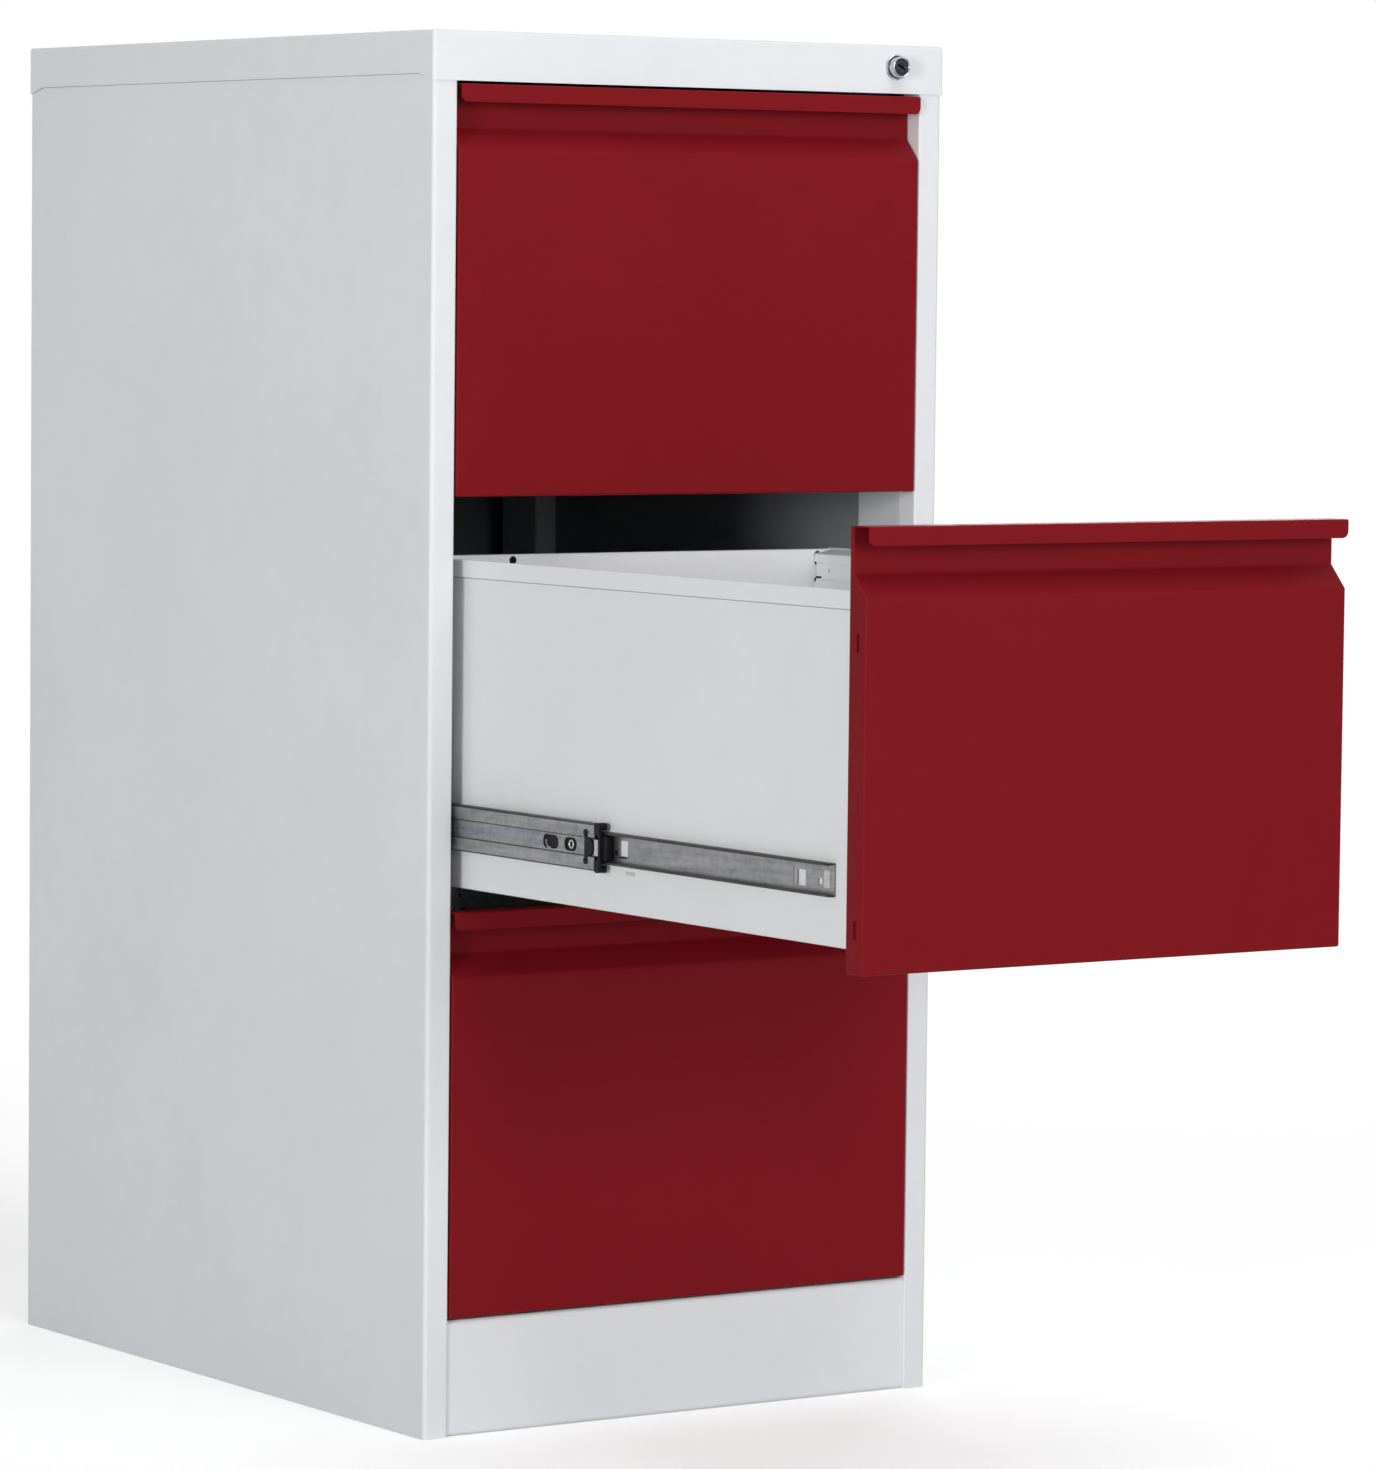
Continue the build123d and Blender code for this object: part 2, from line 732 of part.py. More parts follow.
def slide_bumpers(front_top, pull):
    """Moulded end stops clipped over the middle members, each with its release lever and its inner arm."""
    steel_end = slide_front - follow_ratio * pull + middle_front_inset
    knob = middle_height / 2 + bumper_proud - knob_radius
    lever_face = middle_web - lever_sheet
    body_start = -lever_body_lead
    body_end = body_start + lever_body_length
    with BuildPart() as bumper:
        with BuildSketch(web_plane(front_top, steel_end, middle_web)):
            with Locations((-bumper_waist / 2, 0)):
                Rectangle(bumper_waist, 2 * knob)
        extrude(amount=bumper_web_thickness)
        with BuildSketch(web_plane(front_top, steel_end, middle_web)):
            for side in (-1, 1):
                with Locations((-bumper_length / 2, side * knob)):
                    Rectangle(bumper_length, 2 * knob_radius)
            chamfer(vertices(), length=knob_edge)
        extrude(amount=bumper_thickness)
        with BuildSketch(web_plane(front_top, steel_end, lever_face)):
            with Locations(((body_end - bumper_waist) / 2, 0)):
                Rectangle(body_end + bumper_waist, lever_neck_width)
            with Locations((body_end - lever_bar_width / 2, 0)):
                Rectangle(lever_bar_width, lever_bar_length)
            for side in (-1, 1):
                with Locations((body_end, side * lever_bar_length / 2)):
                    RegularPolygon(lever_end_radius, 6)
        extrude(amount=lever_sheet)
        with BuildSketch(web_plane(front_top, steel_end, lever_face)):
            with Locations(((body_start + body_end) / 2, 0)):
                body = Rectangle(lever_body_length, lever_body_width)
            chamfer(body.vertices().group_by(Axis.X)[0], length=lever_body_edge)
        extrude(amount=lever_sheet + middle_step)
        with BuildSketch(web_plane(front_top, steel_end, middle_face)):
            with Locations(((arm_length - bumper_waist) / 2, 0)):
                Rectangle(arm_length + bumper_waist, arm_width)
        extrude(amount=arm_sheet)
        mirror(bumper.part, about=Plane.YZ)
    return bumper.part


def lock_catch(front_top, pull):
    """The angle on a drawer's right side that a lowered tongue stands in front of."""
    wall = bar_front + bar_width + catch_setback - pull
    high = tongue_base(front_top) - catch_gap
    with BuildPart() as catch:
        with BuildSketch(Plane.XY.offset(high - catch_height)):
            catch_line = [
                (tray_half, wall + 2 * catch_depth),
                (tray_half, wall),
                (tray_half + catch_depth, wall),
            ]
            add(rolled(catch_line, catch_sheet, Side.LEFT))
        extrude(amount=catch_height)
    return catch.part


outer_cage_front = slide_front + outer_cage_start
inner_cage_front = slide_front + inner_cage_start
inner_follow = (1 + follow_ratio) / 2

for drawer_name, front_top, pull in drawers:
    pieces = {
        f"drawer_front_{drawer_name}": drawer_front(front_top, pull),
        f"drawer_liner_{drawer_name}": drawer_liner(front_top, pull),
        f"drawer_tray_{drawer_name}": drawer_tray(front_top, pull),
        f"drawer_back_{drawer_name}": drawer_back(front_top, pull),
        f"file_rails_{drawer_name}": file_rails(front_top, pull),
        f"lock_catch_{drawer_name}": lock_catch(front_top, pull),
        f"slide_cabinet_members_{drawer_name}": cabinet_members(front_top),
        f"slide_middle_members_{drawer_name}": middle_members(front_top, pull),
        f"slide_drawer_members_{drawer_name}": drawer_members(front_top, pull),
        f"slide_bumpers_{drawer_name}": slide_bumpers(front_top, pull),
        f"ball_cages_outer_{drawer_name}": ball_cages(
            front_top,
            outer_cage_front - follow_ratio / 2 * pull,
            outer_cage_length,
            slide_sheet + cage_gap,
            outer_ball_height,
            ball_outer_depth,
            outer_ball_radius,
        ),
        f"ball_cages_inner_{drawer_name}": ball_cages(
            front_top,
            inner_cage_front - inner_follow * pull,
            inner_cage_length,
            inner_cage_web,
            inner_ball_height,
            ball_inner_depth,
            inner_ball_radius,
        ),
    }
    for piece_name, piece in pieces.items():
        piece.label = piece_name
        export_step(piece, f"parts/{piece_name}.step")


# Lock housing: the fixed barrel with its bezel, through the cap's skirt and the rail
with BuildPart() as lock_housing:
    with BuildSketch(Plane.XZ.offset(-lock_face)):
        with Locations((lock_x, lock_z)):
            Circle(lock_barrel_radius)
    extrude(amount=-lock_barrel_length)
    with BuildSketch(Plane.XZ.offset(-lock_face)):
        with Locations((lock_x, lock_z)):
            Circle(lock_bezel_radius)
    extrude(amount=lock_bezel_height)
    chamfer(lock_housing.faces().sort_by(Axis.Y)[0].edges(), length=lock_bezel_edge)
    with BuildSketch(Plane.XZ.offset(-lock_face + lock_bezel_height)):
        with Locations((lock_x, lock_z)):
            Circle(plunger_radius + plunger_clearance)
    extrude(amount=-(lock_barrel_length + lock_bezel_height), mode=Mode.SUBTRACT)
lock_housing.part.label = "lock_housing"
export_step(lock_housing.part, "parts/lock_housing.step")

# Lock nut: the hexagonal nut that clamps the barrel to the rail
with BuildPart() as lock_nut:
    with BuildSketch(Plane.XZ.offset(-(body_front + body_sheet))):
        with Locations((lock_x, lock_z)):
            RegularPolygon(nut_radius, 6)
            RegularPolygon(lock_barrel_radius + lock_wall_gap, lock_hole_sides, major_radius=False, mode=Mode.SUBTRACT)
    extrude(amount=-nut_thickness)
lock_nut.part.label = "lock_nut"
export_step(lock_nut.part, "parts/lock_nut.step")

# Plunger: the push button, its tail and the wedge that drives the locking bar down
plunger_front = lock_face - plunger_stand
plunger_rear = lock_face + lock_barrel_length - plunger_travel - plunger_end_gap
wedge_start = lock_face + wedge_reach
with BuildPart() as lock_plunger:
    with BuildSketch(Plane.XZ.offset(-plunger_front)):
        with Locations((lock_x, lock_z)):
            Circle(plunger_radius)
    extrude(amount=plunger_front - plunger_rear)
    chamfer(lock_plunger.faces().sort_by(Axis.Y)[0].edges(), length=plunger_edge)
    with BuildSketch(Plane.XZ.offset(-plunger_rear)):
        with Locations((lock_x, lock_z)):
            Circle(tail_radius)
    extrude(amount=plunger_rear - wedge_start)
    with BuildSketch(Plane.YZ.offset(lock_x)):
        with BuildLine():
            Polyline(
                (wedge_start - wedge_back, wedge_top),
                (wedge_start + wedge_height, wedge_top),
                (wedge_start, wedge_low),
                (wedge_start - wedge_back, wedge_low),
                close=True,
            )
        make_face()
    extrude(amount=wedge_width / 2, both=True)
    with BuildSketch(Plane.XZ.offset(-plunger_front)):
        with Locations((lock_x, lock_z)):
            Circle(core_radius + core_clearance)
    extrude(amount=-core_length, mode=Mode.SUBTRACT)
lock_plunger.part.label = "lock_plunger"
export_step(lock_plunger.part, "parts/lock_plunger.step")

# Key core: turns in the plunger, with its keyway cut in the face
with BuildPart() as key_core:
    with BuildSketch(Plane.XZ.offset(-plunger_front - core_recess)):
        with Locations((lock_x, lock_z)):
            Circle(core_radius)
    extrude(amount=-(core_length - core_recess - core_end_gap))
    with BuildSketch(Plane.XZ.offset(-plunger_front - core_recess)):
        with Locations((lock_x, lock_z)):
            Rectangle(key_slot_width, key_slot_length, rotation=key_slot_angle)
    extrude(amount=-key_slot_depth, mode=Mode.SUBTRACT)
key_core.part.label = "key_core"
export_step(key_core.part, "parts/key_core.step")

# Locking bar: a flat bar in the front right upright
arm_front = wedge_start + bar_clearance * 2 ** 0.5
arm_low = wedge_low - arm_drop
arm_high = wedge_low + arm_slope
with BuildPart() as lock_bar:
    with BuildSketch(Plane.XY.offset(bar_foot)):
        with Locations((bar_x + bar_thickness / 2, bar_middle)):
            Rectangle(bar_thickness, bar_width)
    extrude(amount=arm_high - bar_foot)
lock_bar.part.label = "lock_bar"
export_step(lock_bar.part, "parts/lock_bar.step")

# Bar arm: reaches from the top of the bar under the plunger's wedge
with BuildPart() as lock_bar_arm:
    with BuildSketch(Plane.YZ.offset(lock_x - wedge_width / 2)):
        with BuildLine():
            Polyline(
                (arm_front, wedge_low),
                (arm_front + arm_slope, arm_high),
                (bar_front + bar_width, arm_high),
                (bar_front + bar_width, arm_low),
                (arm_front, arm_low),
                close=True,
            )
        make_face()
    extrude(amount=bar_x - lock_x + wedge_width / 2)
lock_bar_arm.part.label = "lock_bar_arm"
export_step(lock_bar_arm.part, "parts/lock_bar_arm.step")

# Bar tongues: one for each drawer, standing through the slots of the upright
with BuildPart() as lock_bar_tongues:
    for _, front_top, _ in drawers:
        with BuildSketch(Plane.XY.offset(tongue_base(front_top))):
            with Locations((bar_x - tongue_reach / 2, bar_middle)):
                Rectangle(tongue_reach, bar_width)
        extrude(amount=tongue_height)
lock_bar_tongues.part.label = "lock_bar_tongues"
export_step(lock_bar_tongues.part, "parts/lock_bar_tongues.step")

# Bar guides: clips on the upright's web that keep the locking bar upright
with BuildPart() as lock_bar_guides:
    guide_web = opening_half + upright_sheet
    guide_out = bar_x + bar_thickness + bar_clearance + guide_sheet
    guide_front = bar_front - bar_clearance - guide_sheet
    guide_rear = bar_front + bar_width + bar_clearance + guide_sheet
    for _, front_top, _ in drawers:
        with BuildSketch(Plane.XY.offset(front_top - slide_drop)):
            guide_line = [
                (guide_web, guide_front),
                (guide_out, guide_front),
                (guide_out, guide_rear),
                (guide_web, guide_rear),
            ]
            add(rolled(guide_line, guide_sheet, Side.LEFT))
        extrude(amount=guide_height)
lock_bar_guides.part.label = "lock_bar_guides"
export_step(lock_bar_guides.part, "parts/lock_bar_guides.step")
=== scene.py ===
import bmesh
import bpy
from math import atan2, cos, pi, radians, sin, tan
from mathutils import Matrix, Vector


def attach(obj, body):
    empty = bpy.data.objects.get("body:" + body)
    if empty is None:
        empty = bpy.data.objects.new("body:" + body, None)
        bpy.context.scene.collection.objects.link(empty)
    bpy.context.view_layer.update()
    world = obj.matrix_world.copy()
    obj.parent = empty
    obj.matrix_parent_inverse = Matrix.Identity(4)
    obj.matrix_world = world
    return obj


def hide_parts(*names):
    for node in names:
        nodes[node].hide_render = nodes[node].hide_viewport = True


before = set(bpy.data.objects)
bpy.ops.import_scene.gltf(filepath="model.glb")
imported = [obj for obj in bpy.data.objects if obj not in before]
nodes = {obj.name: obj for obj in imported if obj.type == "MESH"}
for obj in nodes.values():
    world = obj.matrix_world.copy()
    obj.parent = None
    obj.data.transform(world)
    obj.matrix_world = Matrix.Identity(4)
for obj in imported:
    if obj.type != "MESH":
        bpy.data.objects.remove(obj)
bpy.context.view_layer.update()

# Sizes in millimetres, as in the part's own source; the meshes are brought to metres when they are finished.
MM = 0.001
CABINET_HEIGHT = 1016.0
CAP_HALF_WIDTH = 225.0
CAP_HALF_DEPTH = 303.0
CAP_SKIRT = 36.0
CAP_SIDE_SKIRT = 31.0
CAP_RUN = 20.0
PLINTH_HEIGHT = 85.0
BODY_HALF = 224.0
BODY_FRONT = -302.0
BODY_REAR = 302.0
OPENING_HALF = 204.0
SHELL_TOP = 1013.5
SHELL_SHEET = 1.0

DRAWER_GAP = 2.0
FACE = -303.0
FRONT_HALF = 203.0
FRONT_HEIGHT = (CABINET_HEIGHT - CAP_SKIRT - PLINTH_HEIGHT - 4 * DRAWER_GAP) / 3
FRONT_FLANGE = 18.0
FRONT_SHEET = 0.9
RECESS_DEPTH = 15.0
TRAY_HALF = 191.3
TRAY_LENGTH = 580.0
TRAY_DROP = 43.5
TRAY_RISE = 14.5
TRAY_SHEET = 0.8
HEM_HEIGHT = 12.8
INNER_DROP = TRAY_DROP + TRAY_SHEET
BACK_FLANGE = 5.0
RAIL_GAP = 0.5
RAIL_WIDTH = 17.5
RAIL_LENGTH = TRAY_LENGTH - BACK_FLANGE - RAIL_GAP
RAIL_OUTER = TRAY_HALF - TRAY_SHEET
RAIL_INNER = RAIL_OUTER - RAIL_WIDTH

SLIDE_RISE = 59.5
SLIDE_FRONT = -270.0
SLIDE_SHEET = 1.2
MIDDLE_START = 14.5
MIDDLE_END = 542.0
MIDDLE_WEB = 2.4
MIDDLE_BAND = 3.2
INNER_START = 8.0
INNER_LENGTH = 542.0
INNER_WEB = 12.7
CAGE_SHEET = 0.5
FOLLOW = 5.0 / 11.0

LOCK = Vector((181.0, FACE, 999.5))
TOP_DRAWER = CABINET_HEIGHT - CAP_SKIRT - DRAWER_GAP
DRAWER_PITCH = FRONT_HEIGHT + DRAWER_GAP
PULLED_OUT = 506.0

# Each drawer's name, the top edge of its front, and how far it stands out.
DRAWERS = (
    ("top", TOP_DRAWER, 0.0),
    ("middle", TOP_DRAWER - DRAWER_PITCH, PULLED_OUT),
    ("bottom", TOP_DRAWER - 2 * DRAWER_PITCH, 0.0),
)


# Finishes

class Wire:
    """One output socket; arithmetic on it adds the Math nodes that work it out."""

    def __init__(self, finish, socket):
        self.finish = finish
        self.socket = socket

    def __add__(self, other):
        return self.finish.math("ADD", self, other)

    def __radd__(self, other):
        return self.finish.math("ADD", other, self)

    def __mul__(self, other):
        return self.finish.math("MULTIPLY", self, other)

    def __rmul__(self, other):
        return self.finish.math("MULTIPLY", other, self)

    def output(self, key):
        """Another output of the same node."""
        return Wire(self.finish, self.socket.node.outputs[key])


class Finish:
    """The nodes of one material, or of the world."""

    def __init__(self, name, owner=None):
        self.material = owner or bpy.data.materials.new(name)
        self.material.use_nodes = True
        self.tree = self.material.node_tree
        self.tree.nodes.clear()

    def node(self, kind, settings=None, inputs=None, output=0):
        """Adds a node with its settings and its sockets' values or links, and gives one of its outputs."""
        made = self.tree.nodes.new(kind)
        for key, value in (settings or {}).items():
            setattr(made, key, value)
        for key, value in (inputs or {}).items():
            if isinstance(value, Wire):
                self.tree.links.new(value.socket, made.inputs[key])
            else:
                made.inputs[key].default_value = value
        return Wire(self, made.outputs[output]) if made.outputs else None

    def math(self, operation, a, b=0.0):
        return self.node("ShaderNodeMath", {"operation": operation}, {0: a, 1: b})

    def place(self):
        return self.node("ShaderNodeTexCoord", output="Object")

    def stretched(self, place, scale):
        return self.node("ShaderNodeMapping", inputs={"Vector": place, "Scale": scale})

    def noise(self, place, scale, detail=2.0, rough=0.5):
        inputs = {"Vector": place, "Scale": scale, "Detail": detail, "Roughness": rough}
        return self.node("ShaderNodeTexNoise", inputs=inputs)

    def between(self, value, low, high, to_low=0.0, to_high=1.0):
        inputs = {0: value, 1: low, 2: high, 3: to_low, 4: to_high}
        return self.node("ShaderNodeMapRange", {"clamp": True}, inputs)

    def tint(self, amount, a, b):
        return self.node("ShaderNodeMix", {"data_type": "RGBA"}, {0: amount, 6: a, 7: b}, output=2)

    def bump(self, height, depth, strength=1.0, over=None):
        """A relief of a given depth in metres, laid over another one where that is named."""
        inputs = {"Strength": strength, "Distance": depth, "Height": height}
        if over:
            inputs["Normal"] = over
        return self.node("ShaderNodeBump", inputs=inputs)

    def send(self, surface, kind="ShaderNodeOutputMaterial"):
        self.node(kind, inputs={"Surface": surface})

    def coat(self, **sockets):
        """The surface itself: the constants and wires of a Principled shader, sent to the output."""
        inputs = {key.replace("_", " "): value for key, value in sockets.items()}
        self.send(self.node("ShaderNodeBsdfPrincipled", inputs=inputs))
        return self.material


def srgb(r, g, b):
    """A colour read off a screen, 0 to 255, as the shader wants it."""
    def lin(v):
        v = v / 255
        return v / 12.92 if v <= 0.04045 else ((v + 0.055) / 1.055) ** 2.4
    return (lin(r), lin(g), lin(b), 1.0)


def scaled(colour, k):
    """A colour made darker or lighter."""
    return tuple(min(v * k, 1.0) for v in colour[:3]) + (1.0,)


def powder_coat(name, colour, gloss=0.45, shine=0.3, peel=1.0, inside=None):
    """Baked powder paint: fine orange peel, broad faint waves of the sheet, and a slightly uneven sheen.
    Given an inside colour, faces that do not look to the rear take it, as painted shade.
    """
    f = Finish(name)
    place = f.place()
    fine = f.noise(place, scale=900.0, detail=2.0, rough=0.55)
    broad = f.noise(place, scale=7.0, detail=2.0, rough=0.5)
    mottle = f.noise(place, scale=45.0, detail=3.0, rough=0.6)
    tone = f.between(broad * 0.6 + mottle * 0.4, 0.35, 0.65)
    base = f.tint(tone, scaled(colour, 0.975), scaled(colour, 1.02))
    if inside:
        # Painted shade: faces whose normal does not point to the rear take the darker inside colour.
        painted_shade_inside = f.tint(tone, scaled(inside, 0.95), scaled(inside, 1.04))
        normal = f.node("ShaderNodeNewGeometry", output="True Normal")
        facing_back = f.node("ShaderNodeSeparateXYZ", inputs={0: normal}, output="Y")
        base = f.tint(f.between(facing_back, 0.0, 0.1), painted_shade_inside, base)
    rough = f.between(mottle, 0.3, 0.7, gloss - 0.05, gloss + 0.06)
    wave = f.bump(broad, depth=0.0012, strength=0.35)
    normal = f.bump(fine, depth=0.00012, strength=0.28 * peel, over=wave)
    return f.coat(Base_Color=base, Roughness=rough, Normal=normal, Specular_IOR_Level=shine)


def drawn_zinc(name, colour, dark, gloss=0.36):
    """Zinc-plated strip: grain drawn along the slide, soft stains and darker rubbed streaks."""
    f = Finish(name)
    place = f.place()
    grain = f.noise(f.stretched(place, (1.0, 0.035, 1.0)), scale=1500.0, detail=3.0, rough=0.6)
    streak = f.noise(f.stretched(place, (1.0, 0.06, 1.0)), scale=260.0, detail=3.0, rough=0.55)
    stain = f.noise(place, scale=38.0, detail=4.0, rough=0.62)
    spangle = f.noise(place, scale=210.0, detail=2.0, rough=0.5)
    wear = f.between(stain, 0.38, 0.66)
    base = f.tint(f.between(streak * 0.6 + spangle * 0.4, 0.36, 0.64), dark, colour)
    base = f.tint(wear * 0.35, base, scaled(colour, 1.18))
    rough = f.between(grain * 0.6 + stain * 0.4, 0.35, 0.65, gloss - 0.08, gloss + 0.1)
    normal = f.bump(grain, depth=0.00005, strength=0.5)
    return f.coat(Base_Color=base, Metallic=0.9, Roughness=rough, Normal=normal)


def moulded_plastic(name, colour):
    """Matt moulded plastic with a fine spark-eroded texture."""
    f = Finish(name)
    place = f.place()
    fine = f.noise(place, scale=2600.0, detail=2.0, rough=0.6)
    cloud = f.noise(place, scale=160.0, detail=2.0, rough=0.5)
    base = f.tint(f.between(cloud, 0.35, 0.65), scaled(colour, 0.8), scaled(colour, 1.25))
    rough = f.between(cloud, 0.3, 0.7, 0.46, 0.6)
    normal = f.bump(fine, depth=0.00003, strength=0.5)
    return f.coat(Base_Color=base, Roughness=rough, Normal=normal, Specular_IOR_Level=0.12)


def bright_plate(name, colour, gloss):
    """Polished plate with the faint haze and smudges of handling."""
    f = Finish(name)
    place = f.place()
    haze = f.noise(place, scale=420.0, detail=3.0, rough=0.6)
    fine = f.noise(place, scale=3200.0, detail=2.0, rough=0.5)
    base = f.tint(f.between(haze, 0.35, 0.7), colour, scaled(colour, 0.82))
    rough = f.between(haze, 0.35, 0.7, gloss, gloss + 0.1)
    normal = f.bump(fine, depth=0.00001, strength=0.3)
    return f.coat(Base_Color=base, Metallic=1.0, Roughness=rough, Normal=normal)


def turned_nickel(name, colour):
    """The turned face of the key core: fine rings about the lock's axis over dark nickel."""
    phase_per_metre = 16000.0
    f = Finish(name)
    place = f.place()
    centred = f.node("ShaderNodeMapping", inputs={"Vector": place, "Location": tuple(-v * MM for v in LOCK)})
    across = f.node("ShaderNodeSeparateXYZ", inputs={0: centred}, output="X")
    up = across.output("Z")
    rings = f.math("SINE", f.math("SQRT", across * across + up * up) * phase_per_metre)
    blotch = f.noise(place, scale=700.0, detail=3.0, rough=0.6)
    base = f.tint(f.between(blotch, 0.35, 0.65), scaled(colour, 0.6), scaled(colour, 1.5))
    rough = f.between(blotch, 0.3, 0.7, 0.22, 0.4)
    normal = f.bump(rings, depth=0.00003, strength=0.5)
    return f.coat(Base_Color=base, Metallic=1.0, Roughness=rough, Normal=normal)


PALE = srgb(228, 230, 233)
RED = (0.2, 0.006, 0.0105, 1.0)
shell_paint = powder_coat("pale_powder_coat", PALE, gloss=0.46, shine=0.22)
# Painted shade: a grey copy of the pale paint for the inner faces of the shell and the parts inside, standing
# for the shade within the cabinet. It also colours the painted shadow lines under the cap skirts and the tray
# hems.
shell_painted_shade = powder_coat("painted_shade_powder_coat", srgb(150, 153, 157), gloss=0.5, shine=0.2)
front_paint = powder_coat("red_powder_coat", RED, gloss=0.5, shine=0.07)
tray_paint = powder_coat("tray_powder_coat", srgb(231, 232, 233), gloss=0.48, shine=0.25)
# Painted light: a brighter copy of the tray's paint for the drawer's back wall and hanging rails, standing
# for the light that falls inside the drawer.
tray_paint_painted_light = powder_coat("tray_powder_coat_painted_light", srgb(248, 249, 251), gloss=0.48, shine=0.25)
frame_paint = powder_coat("frame_primer", srgb(200, 203, 206), gloss=0.6, shine=0.2, peel=0.6)
# Painted shade: the back panel's inner face is a darker grey, standing for the shade inside the cabinet.
back_paint = powder_coat("back_powder_coat", PALE, gloss=0.5, shine=0.25, inside=srgb(132, 135, 140))
zinc = drawn_zinc("zinc_strip", (0.3, 0.3, 0.305, 1.0), dark=(0.17, 0.175, 0.185, 1.0))
# Painted reflection: the slides' recessed band in a darker, bluer zinc than the flats beside it.
zinc_band_painted_reflection = drawn_zinc("zinc_band_painted_reflection", (0.27, 0.275, 0.295, 1.0), dark=(0.155, 0.16, 0.18, 1.0))
# Painted shade: a near-black copy of the zinc for the slides' steps, folds and lips, standing for the shade
# along them.
zinc_painted_shade = drawn_zinc("zinc_edge_painted_shade", (0.07, 0.068, 0.064, 1.0), dark=(0.035, 0.034, 0.033, 1.0), gloss=0.5)
# Painted highlight: a brighter copy of the zinc for the rivets, the rolled rim, the front tabs and the pads.
zinc_painted_highlight = drawn_zinc("zinc_lip_painted_highlight", (0.48, 0.47, 0.45, 1.0), dark=(0.36, 0.36, 0.36, 1.0))
cage_steel = drawn_zinc("cage_strip", (0.4, 0.4, 0.39, 1.0), dark=(0.28, 0.28, 0.28, 1.0), gloss=0.3)
ball_steel = bright_plate("ball_steel", (0.6, 0.6, 0.6, 1.0), gloss=0.08)
# Black moulded plastic for the bumpers; the same black also makes the painted shade in the rail gaps, by the
# slide windows and in the slide channels.
black_plastic = moulded_plastic("black_acetal_and_painted_shade", (0.008, 0.008, 0.01, 1.0))
chrome = bright_plate("lock_plate", (0.55, 0.56, 0.59, 1.0), gloss=0.07)
core_nickel = turned_nickel("core_nickel", (0.035, 0.036, 0.045, 1.0))


# Sheet-metal work

RUNS = {
    "X": lambda u, v, w: Vector((w, u, v)),
    "Y": lambda u, v, w: Vector((u, w, v)),
    "Z": lambda u, v, w: Vector((u, v, w)),
}
CORNERS = ((-1, -1), (1, -1), (1, 1), (-1, 1))
FRONTAL = Matrix(((1, 0, 0, 0), (0, 0, 1, 0), (0, 1, 0, 0), (0, 0, 0, 1)))


def facing(way):
    """A drawing plane seen from the side: x to the rear, y up, and its thickness along way times X."""
    return Matrix(((0, 0, way, 0), (1, 0, 0, 0), (0, 1, 0, 0), (0, 0, 0, 1)))


WEB = facing(1)


def at(base, x, y, z):
    """A drawing plane moved to a place on the cabinet."""
    return Matrix.Translation((x, y, z)) @ base


def rounded(bm, verts, offset, segments):
    """Rounds the corners of a line or a flat face."""
    return bmesh.ops.bevel(
        bm, geom=verts, offset=offset, segments=segments, profile=0.5, affect="VERTICES", material=-1
    )


def softened(bm, edges, offset, segments):
    """Rounds the edges of a sheet or a solid."""
    bmesh.ops.bevel(
        bm, geom=edges, offset=offset, segments=segments, profile=0.5, affect="EDGES", material=-1
    )


def spun(bm, verts, edges, centre, axis, steps, turn=2 * pi):
    """Turns a line about an axis; a whole turn closes on itself."""
    bmesh.ops.spin(
        bm,
        geom=verts + edges,
        cent=centre,
        axis=axis,
        angle=turn,
        steps=steps,
        use_merge=turn == 2 * pi,
        use_duplicate=False,
    )


def moved_verts(drawn):
    """The points that an extrude made."""
    return [v for v in drawn["geom"] if isinstance(v, bmesh.types.BMVert)]


def bend(bm, verts, radii, segments=5):
    """Rounds the inner points of a folded line: each gets its own inside radius."""
    jobs = []
    for before, corner, after, radius in zip(verts, verts[1:-1], verts[2:], radii):
        turn = (corner.co - before.co).angle(after.co - corner.co)
        jobs.append((corner, radius * tan(turn / 2)))
    for corner, offset in jobs:
        rounded(bm, [corner], offset, segments)


def draw_out(bm, edges, vec):
    """Pulls a line of edges into a sheet."""
    drawn = bmesh.ops.extrude_edge_only(bm, edges=edges)
    bmesh.ops.translate(bm, verts=moved_verts(drawn), vec=vec)


def thicken(bm, face, vec, keep=False):
    """Pulls a flat face into a solid, and gives the points that moved."""
    drawn = bmesh.ops.extrude_face_region(bm, geom=[face], use_keep_orig=keep)
    moved = moved_verts(drawn)
    bmesh.ops.translate(bm, verts=moved, vec=vec)
    return moved


def strip(bm, line, radii, run, start, end, outward, segments=5):
    """One folded strip, from its outer line and bend radii, along one axis.

    Its widest face looks outward, so its thickness goes to the other side.
    """
    place = RUNS[run]
    old_faces = set(bm.faces)
    verts = [bm.verts.new(place(u, v, start)) for u, v in line]
    old_edges = set(bm.edges)
    for pair in zip(verts, verts[1:]):
        bm.edges.new(pair)
    bend(bm, verts, radii, segments)
    draw_out(bm, [e for e in bm.edges if e not in old_edges], place(0, 0, end - start))
    faces = [f for f in bm.faces if f not in old_faces]
    bmesh.ops.recalc_face_normals(bm, faces=faces)
    widest = max(faces, key=lambda f: f.calc_area())
    widest.normal_update()
    if widest.normal.dot(Vector(outward)) < 0:
        bmesh.ops.reverse_faces(bm, faces=faces)
    return faces


def flat_face(bm, point):
    """The face that lies nearest to a point."""
    point = Vector(point)

    def distance(f):
        away = point - f.calc_center_median()
        return (abs(away.dot(f.normal)), away.length)

    return min(bm.faces, key=distance)


def rectangle(bm, plane, width, height):
    """Four points on a drawing plane."""
    return [bm.verts.new(plane @ Vector((x * width / 2, y * height / 2, 0))) for x, y in CORNERS]


